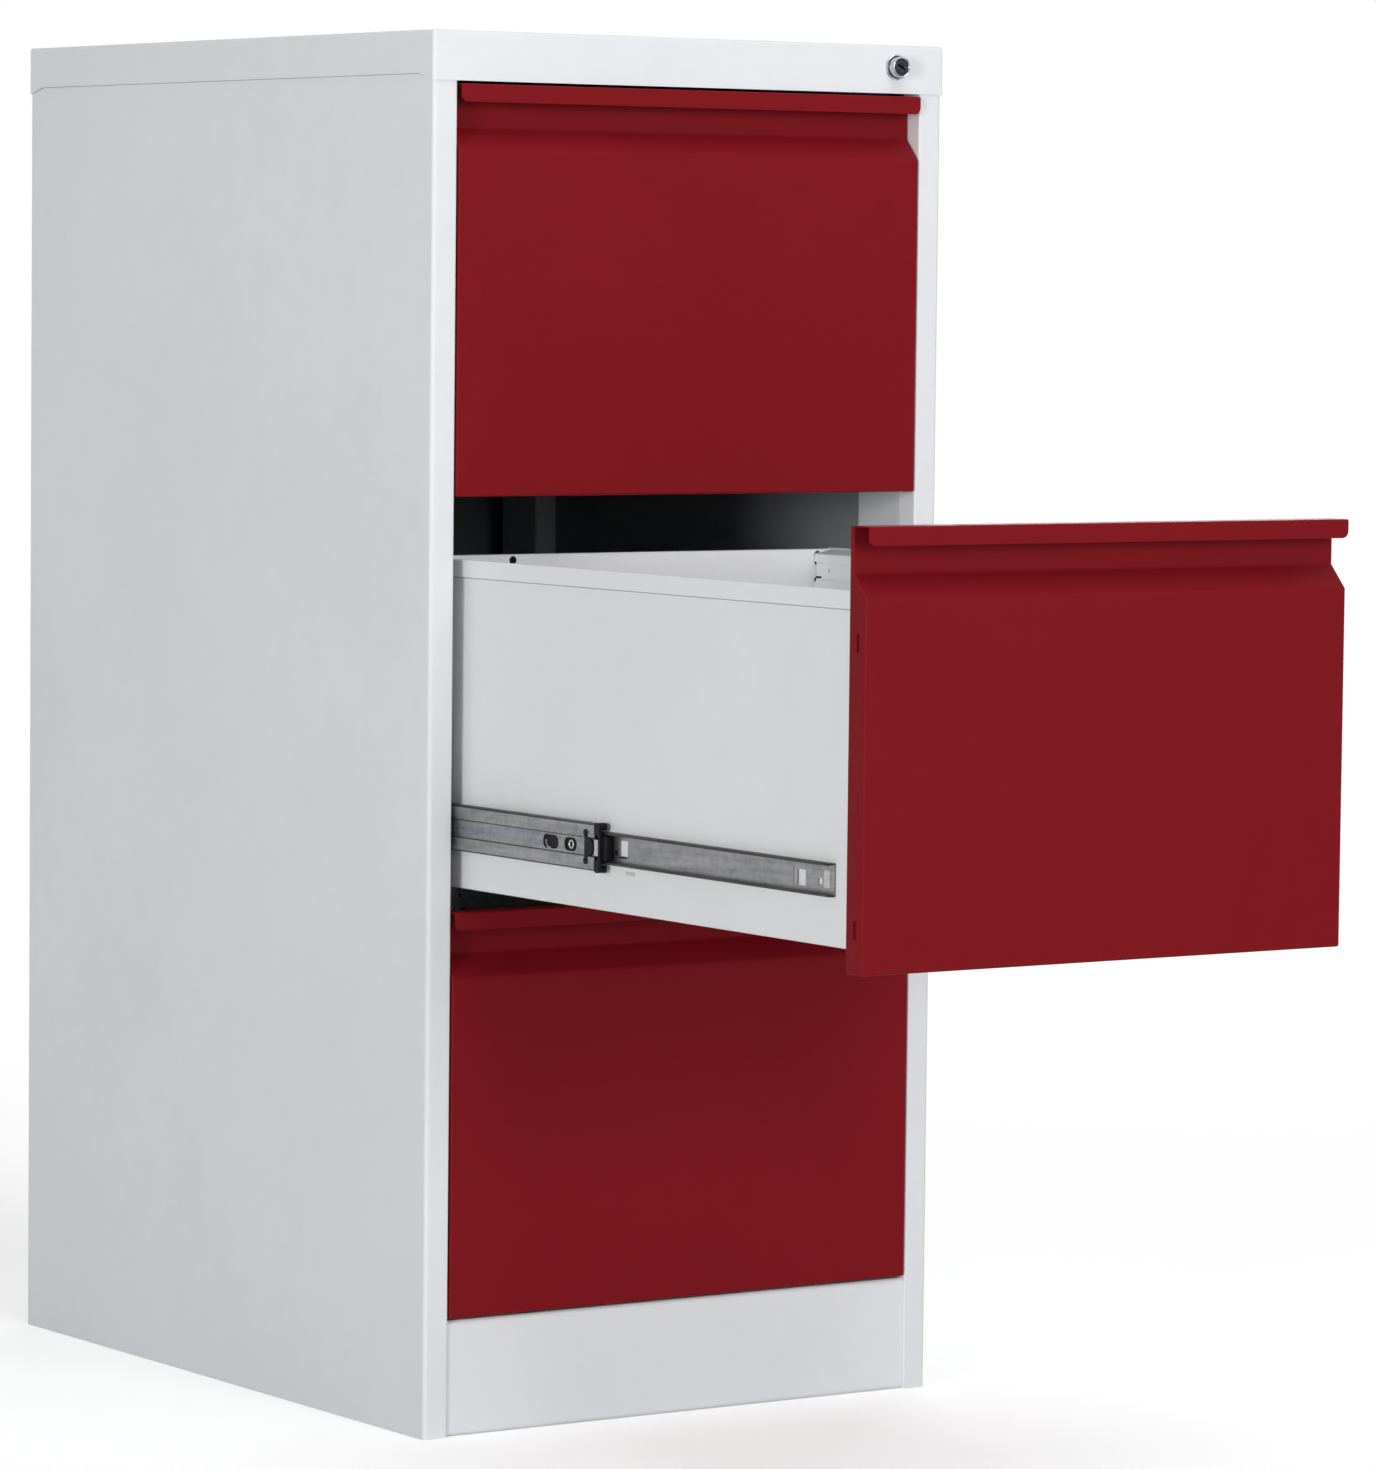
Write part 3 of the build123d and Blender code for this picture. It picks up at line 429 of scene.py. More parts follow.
def slot_loop(bm, plane, width, height, radius):
    """The closed line of a slot with rounded corners, centred on a plane."""
    old = set(bm.edges)
    verts = rectangle(bm, plane, width, height)
    for pair in zip(verts, verts[1:] + verts[:1]):
        bm.edges.new(pair)
    rounded(bm, verts, radius, 4)
    return [e for e in bm.edges if e not in old]


def round_loop(bm, plane, radius, sides=28):
    """The closed line of a round hole, centred on a plane."""
    made = bmesh.ops.create_circle(bm, cap_ends=False, segments=sides, radius=radius, matrix=plane)
    return list({e for v in made["verts"] for e in v.link_edges})


def pierce(bm, face, holes):
    """Takes a flat face out and fills it again round the closed lines of its holes."""
    normal = face.normal.copy()
    edges = list(face.edges) + holes
    bmesh.ops.delete(bm, geom=[face], context="FACES_ONLY")
    made = bmesh.ops.triangle_fill(bm, use_beauty=True, use_dissolve=False, edges=edges, normal=normal)
    faces = [g for g in made["geom"] if isinstance(g, bmesh.types.BMFace)]
    wrong = [f for f in faces if f.normal.dot(normal) < 0]
    if wrong:
        bmesh.ops.reverse_faces(bm, faces=wrong)
    return faces


def block(bm, plane, width, height, radius, thick, corners=(0, 1, 2, 3)):
    """A flat block on a drawing plane, with the corners that are named rounded."""
    verts = rectangle(bm, plane, width, height)
    face = bm.faces.new(verts)
    if radius:
        round_off = rounded(bm, [verts[i] for i in corners], radius, 6)
        face = next(f for v in round_off["verts"] for f in v.link_faces)
    moved = thicken(bm, face, plane.to_3x3() @ Vector((0, 0, thick)), keep=True)
    whole = {f for v in moved for f in v.link_faces} | {face}
    bmesh.ops.recalc_face_normals(bm, faces=list(whole))


def shadow_line(bm, side, wall, y, z, length, height, slope=0.0):
    """A painted shadow line on an outer wall, where one sheet laps over another: a thin dark block under the
    lap.
    """
    sunk, proud = 0.2, 0.5
    place = at(WEB, side * (wall - sunk), y, z) @ Matrix.Rotation(slope, 4, "Z")
    block(bm, place, length, height, 0, side * (sunk + proud))


def finished(name, bm, body, finishes, replaces=(), sheet=0.0, edge=0.0, smooth=35.0, inside=None):
    """Turns a bmesh into a piece that rides on a body, with its finish, wall and softened edges.

    The wall is sheet millimetres thick. Its inner face takes the last finish, or the one numbered inside.
    """
    bmesh.ops.scale(bm, vec=(MM, MM, MM), verts=bm.verts)
    mesh = bpy.data.meshes.new(name)
    bm.to_mesh(mesh)
    bm.free()
    for finish in finishes:
        mesh.materials.append(finish)
    mesh.polygons.foreach_set("use_smooth", [True] * len(mesh.polygons))
    mesh.set_sharp_from_angle(angle=radians(smooth))
    made = bpy.data.objects.new(name, mesh)
    bpy.context.scene.collection.objects.link(made)
    if sheet:
        wall = made.modifiers.new("sheet", "SOLIDIFY")
        wall.thickness = sheet * MM
        wall.offset = -1.0
        wall.use_even_offset = True
        wall.material_offset = len(finishes) - 1 if inside is None else inside
    if edge:
        soft = made.modifiers.new("edges", "BEVEL")
        soft.width = edge * MM
        soft.segments = 2
        soft.limit_method = "ANGLE"
        soft.angle_limit = radians(50)
        soft.harden_normals = False
    if sheet or edge:
        even = made.modifiers.new("even_shading", "WEIGHTED_NORMAL")
        even.keep_sharp = True
    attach(made, body)
    if replaces:
        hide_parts(*replaces)


def shell_piece(name, bm, node):
    """A pale outer sheet of the cabinet, which stands for one node; its inner face is grey, painted shade."""
    finishes = [shell_paint, shell_painted_shade]
    finished(name, bm, "cabinet", finishes, [node], sheet=SHELL_SHEET, edge=0.2)


# Cabinet

def side_skin(side):
    """Outer wall with its rounded front stile, the stile's return and the rear flange."""
    rear_flange, stile_return = 18.0, 20.0
    rear_bend, stile_bend, return_bend = 2.5, 3.2, 1.6
    bm = bmesh.new()
    line = [
        (side * (BODY_HALF - rear_flange), BODY_REAR),
        (side * BODY_HALF, BODY_REAR),
        (side * BODY_HALF, BODY_FRONT),
        (side * OPENING_HALF, BODY_FRONT),
        (side * OPENING_HALF, BODY_FRONT + stile_return),
    ]
    strip(bm, line, (rear_bend, stile_bend, return_bend), "Z", 0, SHELL_TOP, (side, 0, 0), segments=7)
    name = "left" if side < 0 else "right"
    shell_piece(f"{name}_wall", bm, f"{name}_side_panel")


def cap_skin():
    """The top: a tray turned over, with deeper skirts at the front and back and at each corner."""
    corner_round, lock_hole = 2.5, 9.1
    low = CABINET_HEIGHT - CAP_SKIRT
    run_start = BODY_REAR - CAP_RUN
    bm = bmesh.new()
    bmesh.ops.create_cube(bm, size=1.0)
    bmesh.ops.scale(bm, vec=(2 * CAP_HALF_WIDTH, 2 * CAP_HALF_DEPTH, CAP_SKIRT), verts=bm.verts)
    bmesh.ops.translate(bm, verts=bm.verts, vec=(0, 0, low + CAP_SKIRT / 2))
    bottom = [f for f in bm.faces if f.normal.z < -0.5]
    bmesh.ops.delete(bm, geom=bottom, context="FACES_ONLY")
    softened(bm, [e for e in bm.edges if max(v.co.z for v in e.verts) > low + 1], corner_round, 6)
    for y in (-BODY_REAR, -run_start, run_start, BODY_REAR):
        whole = bm.verts[:] + bm.edges[:] + bm.faces[:]
        bmesh.ops.bisect_plane(bm, geom=whole, plane_co=(0, y, 0), plane_no=(0, 1, 0))
    for v in bm.verts:
        if v.co.z < low + 0.01 and abs(v.co.y) < run_start + 1:
            v.co.z = CABINET_HEIGHT - CAP_SIDE_SKIRT
    bm.normal_update()
    front = at(FRONTAL, LOCK.x, -CAP_HALF_DEPTH, LOCK.z)
    pierce(bm, flat_face(bm, front.translation), round_loop(bm, front, lock_hole))
    shell_piece("cap", bm, "top_cap")


def cap_shadow_lines():
    """The painted shadow line under each side skirt of the cap: level along the side, sloping down to the
    corners.
    """
    line = 0.45
    corner_line = 1.4 * line
    run_start = BODY_REAR - CAP_RUN
    corner = CAP_RUN - 2.0
    slope = atan2(CAP_SKIRT - CAP_SIDE_SKIRT, CAP_RUN)
    level = CABINET_HEIGHT - CAP_SIDE_SKIRT - line / 2
    bm = bmesh.new()
    for side in (-1, 1):
        shadow_line(bm, side, BODY_HALF, 0, level, 2 * run_start, line)
        for end in (-1, 1):
            y, z = end * (run_start + corner / 2), level - tan(slope) * corner / 2
            shadow_line(bm, side, BODY_HALF, y, z, corner, corner_line, -end * slope)
    finished("cap_shadow_lines", bm, "cabinet", [shell_painted_shade])


def kick_panel():
    """The plinth: a channel with wide bends at its top and foot."""
    set_back, flange, wide_bend = 2.0, 20.0, 4.0
    front = BODY_FRONT + set_back
    line = [(front + flange, PLINTH_HEIGHT), (front, PLINTH_HEIGHT), (front, 0), (front + flange, 0)]
    bm = bmesh.new()
    strip(bm, line, (wide_bend, wide_bend), "X", -OPENING_HALF, OPENING_HALF, (0, -1, 0), segments=7)
    shell_piece("kick_panel", bm, "plinth")


# Drawers

def flange_slots(top, pull):
    """The middles of the four slots in the side flanges of a front, as drawing planes."""
    behind_face, from_top, from_foot = 8.0, 77.0, 30.0
    return [
        (side, at(WEB, side * FRONT_HALF, FACE - pull + behind_face, z))
        for side in (-1, 1)
        for z in (top - from_top, top - FRONT_HEIGHT + from_foot)
    ]


def front_panel(name, top, pull):
    """Pressed front: flat face, slope up to the finger recess, flanges on sides and foot, forward lip."""
    slope_foot, slope_head = top - 47.5, top - 31.5
    lip_reach, lip_height, lip_inset, lip_bend, lip_round = 2.5, 13.0, 0.5, 1.4, 5.0
    rim_round, slope_round = 1.6, 1.5
    slot_width, slot_height, slot_round = 3.5, 12.0, 0.6
    face = FACE - pull
    low, rear, recess = top - FRONT_HEIGHT, face + FRONT_FLANGE, face + RECESS_DEPTH
    bm = bmesh.new()
    line = [(rear, low), (face, low), (face, slope_foot), (recess, slope_head), (recess, top), (rear, top)]
    slab = bm.faces.new([bm.verts.new((-FRONT_HALF, y, z)) for y, z in line])
    thicken(bm, slab, (2 * FRONT_HALF, 0, 0))
    bmesh.ops.recalc_face_normals(bm, faces=bm.faces)
    behind = [f for f in bm.faces if f.normal.y > 0.9]
    above = [f for f in bm.faces if f.normal.z > 0.9 and f.calc_center_median().z > top - 1]
    bmesh.ops.delete(bm, geom=behind + above, context="FACES")

    def folds():
        return [e for e in bm.edges if len(e.link_faces) == 2]

    def ends_slope(edge):
        """Whether an edge runs level along the foot or the head of the slope."""
        return any(
            all(abs(v.co.y - y) < 0.01 and abs(v.co.z - z) < 0.01 for v in edge.verts)
            for y, z in ((face, slope_foot), (recess, slope_head))
        )

    softened(bm, [e for e in folds() if not ends_slope(e)], rim_round, 4)
    softened(bm, [e for e in folds() if ends_slope(e)], slope_round, 3)
    for _, plane in flange_slots(top, pull):
        bm.normal_update()
        flange = flat_face(bm, plane.translation)
        pierce(bm, flange, slot_loop(bm, plane, slot_width, slot_height, slot_round))
    front = face - lip_reach
    lip_line = [(recess + FRONT_SHEET, top), (front, top), (front, top - lip_height)]
    lip_end = FRONT_HALF - lip_inset
    lip = strip(bm, lip_line, (lip_bend,), "X", -lip_end, lip_end, (0, -1, 0))
    lip_low = {v for f in lip for v in f.verts if v.co.z < top - lip_height + 0.1}
    rounded(bm, list(lip_low), lip_round, 6)
    body, slot, replaced = f"drawer_{name}", "front_paint", [f"drawer_front_{name}"]
    finished(f"{name}_front_panel", bm, body, [front_paint], replaced, sheet=FRONT_SHEET, edge=0.15)


def front_slot_tabs(name, top, pull):
    """The liner's tabs that close the slots in the front's side flanges."""
    width, depth, height, inset, edge = 0.8, 6.0, 15.0, 1.4, 0.15
    bm = bmesh.new()
    for side, plane in flange_slots(top, pull):
        made = bmesh.ops.create_cube(bm, size=1.0)
        bmesh.ops.scale(bm, vec=(width, depth, height), verts=made["verts"])
        bmesh.ops.translate(bm, verts=made["verts"], vec=plane.translation - Vector((side * inset, 0, 0)))
    softened(bm, bm.edges[:], edge, 2)
    finished(f"{name}_slot_tabs", bm, f"drawer_{name}", [front_paint])


def tray_start(pull):
    """Where a drawer's tray begins, behind the flanges of its front."""
    return FACE - pull + FRONT_FLANGE


def tray_piece(name, piece, bm, finish, node):
    """A sheet of a drawer's tray, which stands for one node."""
    body, slot = f"drawer_{name}", "tray_paint"
    finished(f"{name}_{piece}", bm, body, [finish], [f"{node}_{name}"], sheet=TRAY_SHEET, edge=0.12)


def tray_skin(name, top, pull):
    """Sides and floor in one folded sheet, each side topped by a hem that stands a little proud."""
    hem_proud, hem_step, hem_depth, hem_turn = 1.5, 0.4, 2.3, 2.2
    slot_back, slot_drop, slot_width, slot_height, slot_round = 275.0, 16.3, 12.0, 2.5, 0.4
    start, high, low = tray_start(pull), top - TRAY_DROP, top - FRONT_HEIGHT + TRAY_RISE
    wall = [
        (-TRAY_HALF + hem_depth, high - hem_turn),
        (-TRAY_HALF + hem_depth, high),
        (-TRAY_HALF - hem_proud, high),
        (-TRAY_HALF - hem_proud, high - HEM_HEIGHT + hem_step),
        (-TRAY_HALF, high - HEM_HEIGHT),
        (-TRAY_HALF, low),
    ]
    line = wall + [(-x, z) for x, z in reversed(wall)]
    radii = [0.9, 1.2, 0.25, 0.4, 1.4]
    bm = bmesh.new()
    strip(bm, line, radii + radii[::-1], "Y", start, start + TRAY_LENGTH, (0, 0, -1))
    bm.normal_update()
    for side in (-1, 1):
        side_wall = flat_face(bm, (side * TRAY_HALF, start + TRAY_LENGTH / 2, (high + low) / 2))
        plane = at(WEB, side * TRAY_HALF, start + slot_back, slide_height(top) - slot_drop)
        pierce(bm, side_wall, slot_loop(bm, plane, slot_width, slot_height, slot_round))
        bm.normal_update()
    tray_piece(name, "tray", bm, tray_paint, "drawer_tray")


def hem_shadow_lines(name, top, pull):
    """The painted shadow line under the proud hem, along the outside of each side of the tray."""
    line, short_by = 0.34, 4.0
    middle = tray_start(pull) + TRAY_LENGTH / 2
    level = top - TRAY_DROP - HEM_HEIGHT - line / 2
    bm = bmesh.new()
    for side in (-1, 1):
        shadow_line(bm, side, TRAY_HALF, middle, level, TRAY_LENGTH - short_by, line)
    finished(f"{name}_hem_shadow_lines", bm, f"drawer_{name}", [shell_painted_shade])


def back_wall(name, top, pull):
    """Rear wall of a drawer, with its top and bottom edges turned back and two round holes."""
    side_gap, fold = 1.8, 1.2
    hole_places, hole_radius, hole_drop = (-99.0, 176.0), 3.1, 4.4
    rear = tray_start(pull) + TRAY_LENGTH
    wall, half = rear - BACK_FLANGE, TRAY_HALF - side_gap
    high, low = top - INNER_DROP, top - FRONT_HEIGHT + TRAY_RISE + TRAY_SHEET
    bm = bmesh.new()
    line = [(rear, high), (wall, high), (wall, low), (rear, low)]
    strip(bm, line, (fold, fold), "X", -half, half, (0, -1, 0))
    bm.normal_update()
    face = flat_face(bm, (0, wall, (high + low) / 2))
    holes = []
    for x in hole_places:
        holes += round_loop(bm, at(FRONTAL, x, wall, high - hole_drop), hole_radius, sides=20)
    pierce(bm, face, holes)
    # Painted light: the back wall takes the brighter copy of the tray's paint.
    tray_piece(name, "back_wall", bm, tray_paint_painted_light, "drawer_back")


def hanging_rails(name, top, pull):
    """The stepped rails inside both sides, on which suspension files hang."""
    slope, band_top, band_foot, foot, step = 3.5, 10.0, 23.5, 30.5, 1.5
    slot_from_end, slot_drop, slot_width, slot_height, slot_round = 16.8, 16.0, 1.4, 2.8, 0.4
    start, high = tray_start(pull), top - INNER_DROP
    end = start + RAIL_LENGTH
    line = [
        (RAIL_OUTER, high),
        (RAIL_INNER, high - slope),
        (RAIL_INNER, high - band_top),
        (RAIL_INNER + step, high - band_top - step),
        (RAIL_INNER + step, high - band_foot + step),
        (RAIL_INNER, high - band_foot),
        (RAIL_INNER, high - foot),
        (RAIL_OUTER, high - foot),
    ]
    radii = (1.2, 0.5, 0.5, 0.5, 0.5, 1.4)
    bm = bmesh.new()
    for side in (-1, 1):
        strip(bm, [(side * x, z) for x, z in line], radii, "Y", start, end, (-side, 0, 0), segments=4)
        bm.normal_update()
        x = side * (RAIL_INNER + step)
        band = flat_face(bm, (x, (start + end) / 2, high - (band_top + band_foot) / 2))
        plane = at(WEB, x, end - slot_from_end, high - slot_drop)
        pierce(bm, band, slot_loop(bm, plane, slot_width, slot_height, slot_round))
    # Painted light: the rails take the brighter copy of the tray's paint.
    tray_piece(name, "hanging_rails", bm, tray_paint_painted_light, "file_rails")


def rail_gap_shade(name, top, pull):
    """Black blocks at the rear ends of the hanging rails, where their tabs pass the back wall: painted shade
    for the dark of the gaps.
    """
    corner, thick = 0.3, 0.2
    end, high = tray_start(pull) + RAIL_LENGTH, top - INNER_DROP
    bm = bmesh.new()
    for side in (-1, 1):
        for from_end, drop, depth, length, height in (
            (1.1, 10.6, 0.1, 2.0, 1.8),
            (3.6, 21.4, 1.4, 7.0, 1.4),
            (1.0, 23.2, 0.1, 1.8, 2.6),
        ):
            plane = at(facing(-side), side * (RAIL_INNER + depth), end - from_end, high - drop)
            block(bm, plane, length, height, corner, thick)
    finished(f"{name}_rail_gap_shade", bm, f"drawer_{name}", [black_plastic], smooth=40)


# Slides

def slide_height(top):
    """The middle height of a drawer's slides."""
    return top - FRONT_HEIGHT + SLIDE_RISE


def middle_front(pull):
    """Where the steel of the middle members begins."""
    return SLIDE_FRONT - FOLLOW * pull + MIDDLE_START


def both_sides(make):
    """Builds the left slide's piece and its mirror image on the right."""
    bm = bmesh.new()
    make(bm, -1)
    make(bm, 1)
    return bm


def across(side, u):
    """A place on a slide, counted from the cabinet's opening inwards."""
    return side * (OPENING_HALF - u)


def slide_piece(name, piece, bm, group, node, finishes):
    """A rolled member of the slides, which stands for one node and is zinc on its inner faces."""
    body, replaced = f"{group}_{name}", [f"{node}_{name}"]
    finished(
        f"{name}_{piece}", bm, body, finishes, replaced, sheet=SLIDE_SHEET, edge=0.12, inside=0
    )


def middle_slide(name, top, pull):
    """Middle members: a rolled channel whose web has a recessed band, a rivet slot and a stop slot."""
    half, band, flange, band_step, fold, crease = 16.5, 6.8, 9.6, 0.8, 1.6, 0.25
    slot_height = 9.6
    rivet_slot, rivet_slot_length, rivet_slot_round = 31.5, 16.0, 4.6
    stop_slot, stop_slot_length, stop_slot_round = 57.0, 20.0, 4.2
    z, front = slide_height(top), middle_front(pull)
    rear = front + MIDDLE_END - MIDDLE_START

    def make(bm, side):
        web_x, band_x, flange_x = (across(side, u) for u in (MIDDLE_WEB, MIDDLE_BAND, flange))
        line = [
            (flange_x, z + half),
            (web_x, z + half),
            (web_x, z + band),
            (band_x, z + band - band_step),
            (band_x, z - band + band_step),
            (web_x, z - band),
            (web_x, z - half),
            (flange_x, z - half),
        ]
        radii = (fold, crease, crease, crease, crease, fold)
        for face in strip(bm, line, radii, "Y", front, rear, (side, 0, 0)):
            # Painted reflection: the recessed band and its web take the darker, bluer zinc.
            if abs(face.calc_center_median().z - z) < band - band_step - 0.1:
                face.material_index = 1
            # Painted shade: the steps and folds take the near-black zinc.
            elif abs(face.normal.x) < 0.9:
                face.material_index = 2
        bm.normal_update()
        web = flat_face(bm, (band_x, (front + rear) / 2, z))
        slots = []
        for back, length, corner in (
            (rivet_slot, rivet_slot_length, rivet_slot_round),
            (stop_slot, stop_slot_length, stop_slot_round),
        ):
            slots += slot_loop(bm, at(WEB, band_x, front + back, z), length, slot_height, corner)
        for face in pierce(bm, web, slots):
            face.material_index = 1

    finishes = [zinc, zinc_band_painted_reflection, zinc_painted_shade]
    slide_piece(name, "middle_slides", both_sides(make), "middle_members", "slide_middle_members", finishes)


def ring(bm, centre, profile, sides, turn=2 * pi, start=0.0):
    """A ring turned about a sideways axis from its (distance inwards, radius) profile."""
    verts = [bm.verts.new(centre + Vector((u, r * sin(start), r * cos(start)))) for u, r in profile]
    edges = [bm.edges.new(pair) for pair in zip(verts, verts[1:] + verts[:1])]
    spun(bm, verts, edges, centre, (1, 0, 0), sides, turn)


def slide_rivets(name, top, pull):
    """Hollow rivet in the first slot, the rolled rim at the rear of the second, and the front tab, all in a
    brighter copy of the zinc as painted highlight.
    """
    rivet_place, rim_place = 31.0, 58.8
    rivet = ((4.6, 2.0), (3.4, 2.0), (3.1, 2.3), (3.1, 2.8), (3.4, 3.2), (4.6, 3.2))
    rim = ((4.4, 4.0), (3.0, 4.0), (3.0, 4.6), (4.4, 4.6))
    rim_turn, rim_start = radians(130), radians(-155)
    tab_length, tab_height, tab_thick, tab_middle = 4.8, 11.2, 0.8, -2.2
    z, front = slide_height(top), middle_front(pull)
    bm = bmesh.new()
    for side in (-1, 1):
        centre = Vector((across(side, 0), front + rivet_place, z))
        ring(bm, centre, [(-side * u, r) for u, r in rivet], 24)
        centre = Vector((across(side, 0), front + rim_place, z))
        ring(bm, centre, [(-side * u, r) for u, r in rim], 10, rim_turn, rim_start)
        plane = at(WEB, across(side, MIDDLE_BAND), front + tab_middle, z)
        block(bm, plane, tab_length, tab_height, 0.0, side * tab_thick)
    bmesh.ops.remove_doubles(bm, verts=bm.verts, dist=0.001)
    ends = [e for e in bm.edges if len(e.link_faces) == 1]
    bmesh.ops.holes_fill(bm, edges=ends, sides=0)
    bmesh.ops.recalc_face_normals(bm, faces=bm.faces)
    finished(f"{name}_slide_rivets", bm, f"middle_members_{name}", [zinc_painted_highlight], smooth=40)


def slide_stop(name, top, pull):
    """Moulded bumper on the front of each middle member, with the release lever and its long spring arm. The
    inner block and the long arm are partly bumper and partly black laid in as painted shade inside the
    channel and behind the slots.
    """
    z, steel = slide_height(top), middle_front(pull)

    def make(bm, side):
        def add(y, up, depth, length, height, thick, corner=0.0, corners=(0, 1, 2, 3)):
            """A block whose middle is y behind the front of the steel, up above its middle, depth inwards."""
            plane = at(facing(-side), across(side, depth), steel + y, z + up)
            block(bm, plane, length, height, corner, thick, corners)

        for end in (-1, 1):
            outer = (2, 3) if end > 0 else (0, 1)
            add(-3.5, end * 13.0, 1.9, length=6.8, height=9.0, thick=2.6, corner=2.8, corners=outer)
            add(-3.5, end * 14.9, 4.4, length=7.0, height=5.2, thick=4.4, corner=2.4)
            add(-0.9, end * 6.3, 1.9, length=10.0, height=0.7, thick=0.9)
            add(10.7, end * 9.9, 1.6, length=4.4, height=4.8, thick=0.8, corner=2.1)
        add(-5.75, 0, 2.4, length=2.5, height=19.0, thick=2.5)
        # Partly painted shade: the inner block reaches forward into the channel, black where there is shade
        # beside the bumper.
        add(-6.0, 0, 4.8, length=11.5, height=17.2, thick=5.4, corner=1.0)
        add(5.2, 0, 1.6, length=9.2, height=12.4, thick=1.3, corner=6.0, corners=(0, 3))
        add(10.4, 0, 1.6, length=2.4, height=18.0, thick=0.8)
        # Partly painted shade: the long arm lies behind the slots in the web, so that they show black.
        add(33.0, 0, 4.4, length=74.0, height=11.0, thick=1.0, corner=1.0)

    body, slot, replaced = f"middle_members_{name}", "black_plastic", [f"slide_bumpers_{name}"]
    stops = both_sides(make)
    finished(f"{name}_slide_stops", stops, body, [black_plastic], replaced, edge=0.25, smooth=40)


def drawer_slide(name, top, pull):
    """Drawer members: inner channels, whose webs lie against the tray and have windows, a slit and a hole."""
    half, lip, flange, steel_start = 11.25, 1.7, 5.8, 5.5
    lip_fold, fold = 0.8, 1.0
    screw_back, screw_up, screw_radius = 22.0, -2.0, 2.75
    web_side = OPENING_HALF - 12.0
    z, front = slide_height(top), SLIDE_FRONT - pull + INNER_START
    rear = front + INNER_LENGTH

    def make(bm, side):
        web_x, flange_x = across(side, INNER_WEB), across(side, flange)
        line = [
            (flange_x, z + half - lip),
            (flange_x, z + half),
            (web_x, z + half),
            (web_x, z - half),
            (flange_x, z - half),
            (flange_x, z - half + lip),
        ]
        radii = (lip_fold, fold, fold, lip_fold)
        for face in strip(bm, line, radii, "Y", front + steel_start, rear, (-side, 0, 0)):
            # Painted shade: the lips and folds take the near-black zinc.
            if abs(face.calc_center_median().x) > web_side:
                face.material_index = 1
        bm.normal_update()
        web = flat_face(bm, (web_x, (front + rear) / 2, z))
        holes = []
        for back, up, width, height, corner in (
            (43.5, -1.2, 9.5, 11.0, 0.8),
            (52.0, -0.6, 2.4, 10.6, 0.5),
            (258.6, 0.8, 9.8, 11.0, 0.8),
        ):
            holes += slot_loop(bm, at(WEB, web_x, front + back, z + up), width, height, corner)
        holes += round_loop(bm, at(WEB, web_x, front + screw_back, z + screw_up), screw_radius, sides=20)
        pierce(bm, web, holes)

    finishes = [zinc, zinc_painted_shade]
    slide_piece(name, "drawer_slides", both_sides(make), "drawer", "slide_drawer_members", finishes)


def slide_pads(name, top, pull):
    """The pad at the front of each drawer member, in the brighter zinc of painted highlight, and black marks
    beside its rear window, painted shade for a small hole and the window's lower edge.
    """
    z, front = slide_height(top), SLIDE_FRONT - pull + INNER_START
    web_face = INNER_WEB - SLIDE_SHEET

    def plane(side, back, up):
        return at(facing(side), across(side, web_face), front + back, z + up)

    def pad(bm, side):
        block(bm, plane(side, 13.8, 0), width=7.0, height=11.6, radius=0.6, thick=0.25)

    # Painted shade: black blocks for the dark of a small hole and along the window's lower edge.
    def window_shade(bm, side):
        block(bm, plane(side, 267.6, -2.8), width=2.8, height=3.4, radius=0.4, thick=0.4)
        block(bm, plane(side, 259.5, -5.6), width=9.0, height=1.1, radius=0.0, thick=0.3)

    body = f"drawer_{name}"
    # Painted highlight: the pads take the brighter copy of the zinc.
    finished(f"{name}_slide_pads", both_sides(pad), body, [zinc_painted_highlight], smooth=40)
    finished(f"{name}_slide_window_shade", both_sides(window_shade), body, [black_plastic], smooth=40)


def ball_cage(name, level, top, front, length, web, height, depth, radius, count):
    """A pressed cage strip with two rows of balls on each side."""
    past_ball, past_row, fold = 0.3, 0.25, 0.8
    z = slide_height(top)
    reach = depth + radius + past_ball
    edge = height + past_row

    def make(bm, side):
        line = [
            (across(side, reach), z + edge),
            (across(side, web), z + edge),
            (across(side, web), z - edge),
            (across(side, reach), z - edge),
        ]
        strip(bm, line, (fold, fold), "Y", front, front + length, (side, 0, 0), segments=4)

    def fill(bm, side):
        pitch = (length - 4 * radius) / (count - 1)
        for row in (-1, 1):
            for place in range(count):
                y = front + 2 * radius + place * pitch
                spot = Matrix.Translation((across(side, depth), y, z + row * height))
                bmesh.ops.create_uvsphere(bm, u_segments=8, v_segments=6, radius=radius, matrix=spot)

    body, slot, replaced = f"{level}_cages_{name}", "cage_steel", [f"ball_cages_{level}_{name}"]
    finished(f"{name}_{level}_cages", both_sides(make), body, [cage_steel], replaced, sheet=CAGE_SHEET)
    finished(f"{name}_{level}_balls", both_sides(fill), body, [ball_steel], smooth=180)


def ball_cages(name, top, pull):
    """The outer cages roll on the cabinet members, the inner ones on the drawer members."""
    outer_back, inner_back = 145.0, 240.0
    outer = {"length": 230.0, "web": 1.5, "height": 18.9, "depth": 7.6, "radius": 2.3, "count": 11}
    inner = {"length": 160.0, "web": 4.75, "height": 13.275, "depth": 8.1, "radius": 1.925, "count": 9}
    ball_cage(name, "outer", top, SLIDE_FRONT - FOLLOW / 2 * pull + outer_back, **outer)
    ball_cage(name, "inner", top, SLIDE_FRONT - (1 + FOLLOW) / 2 * pull + inner_back, **inner)


# Lock

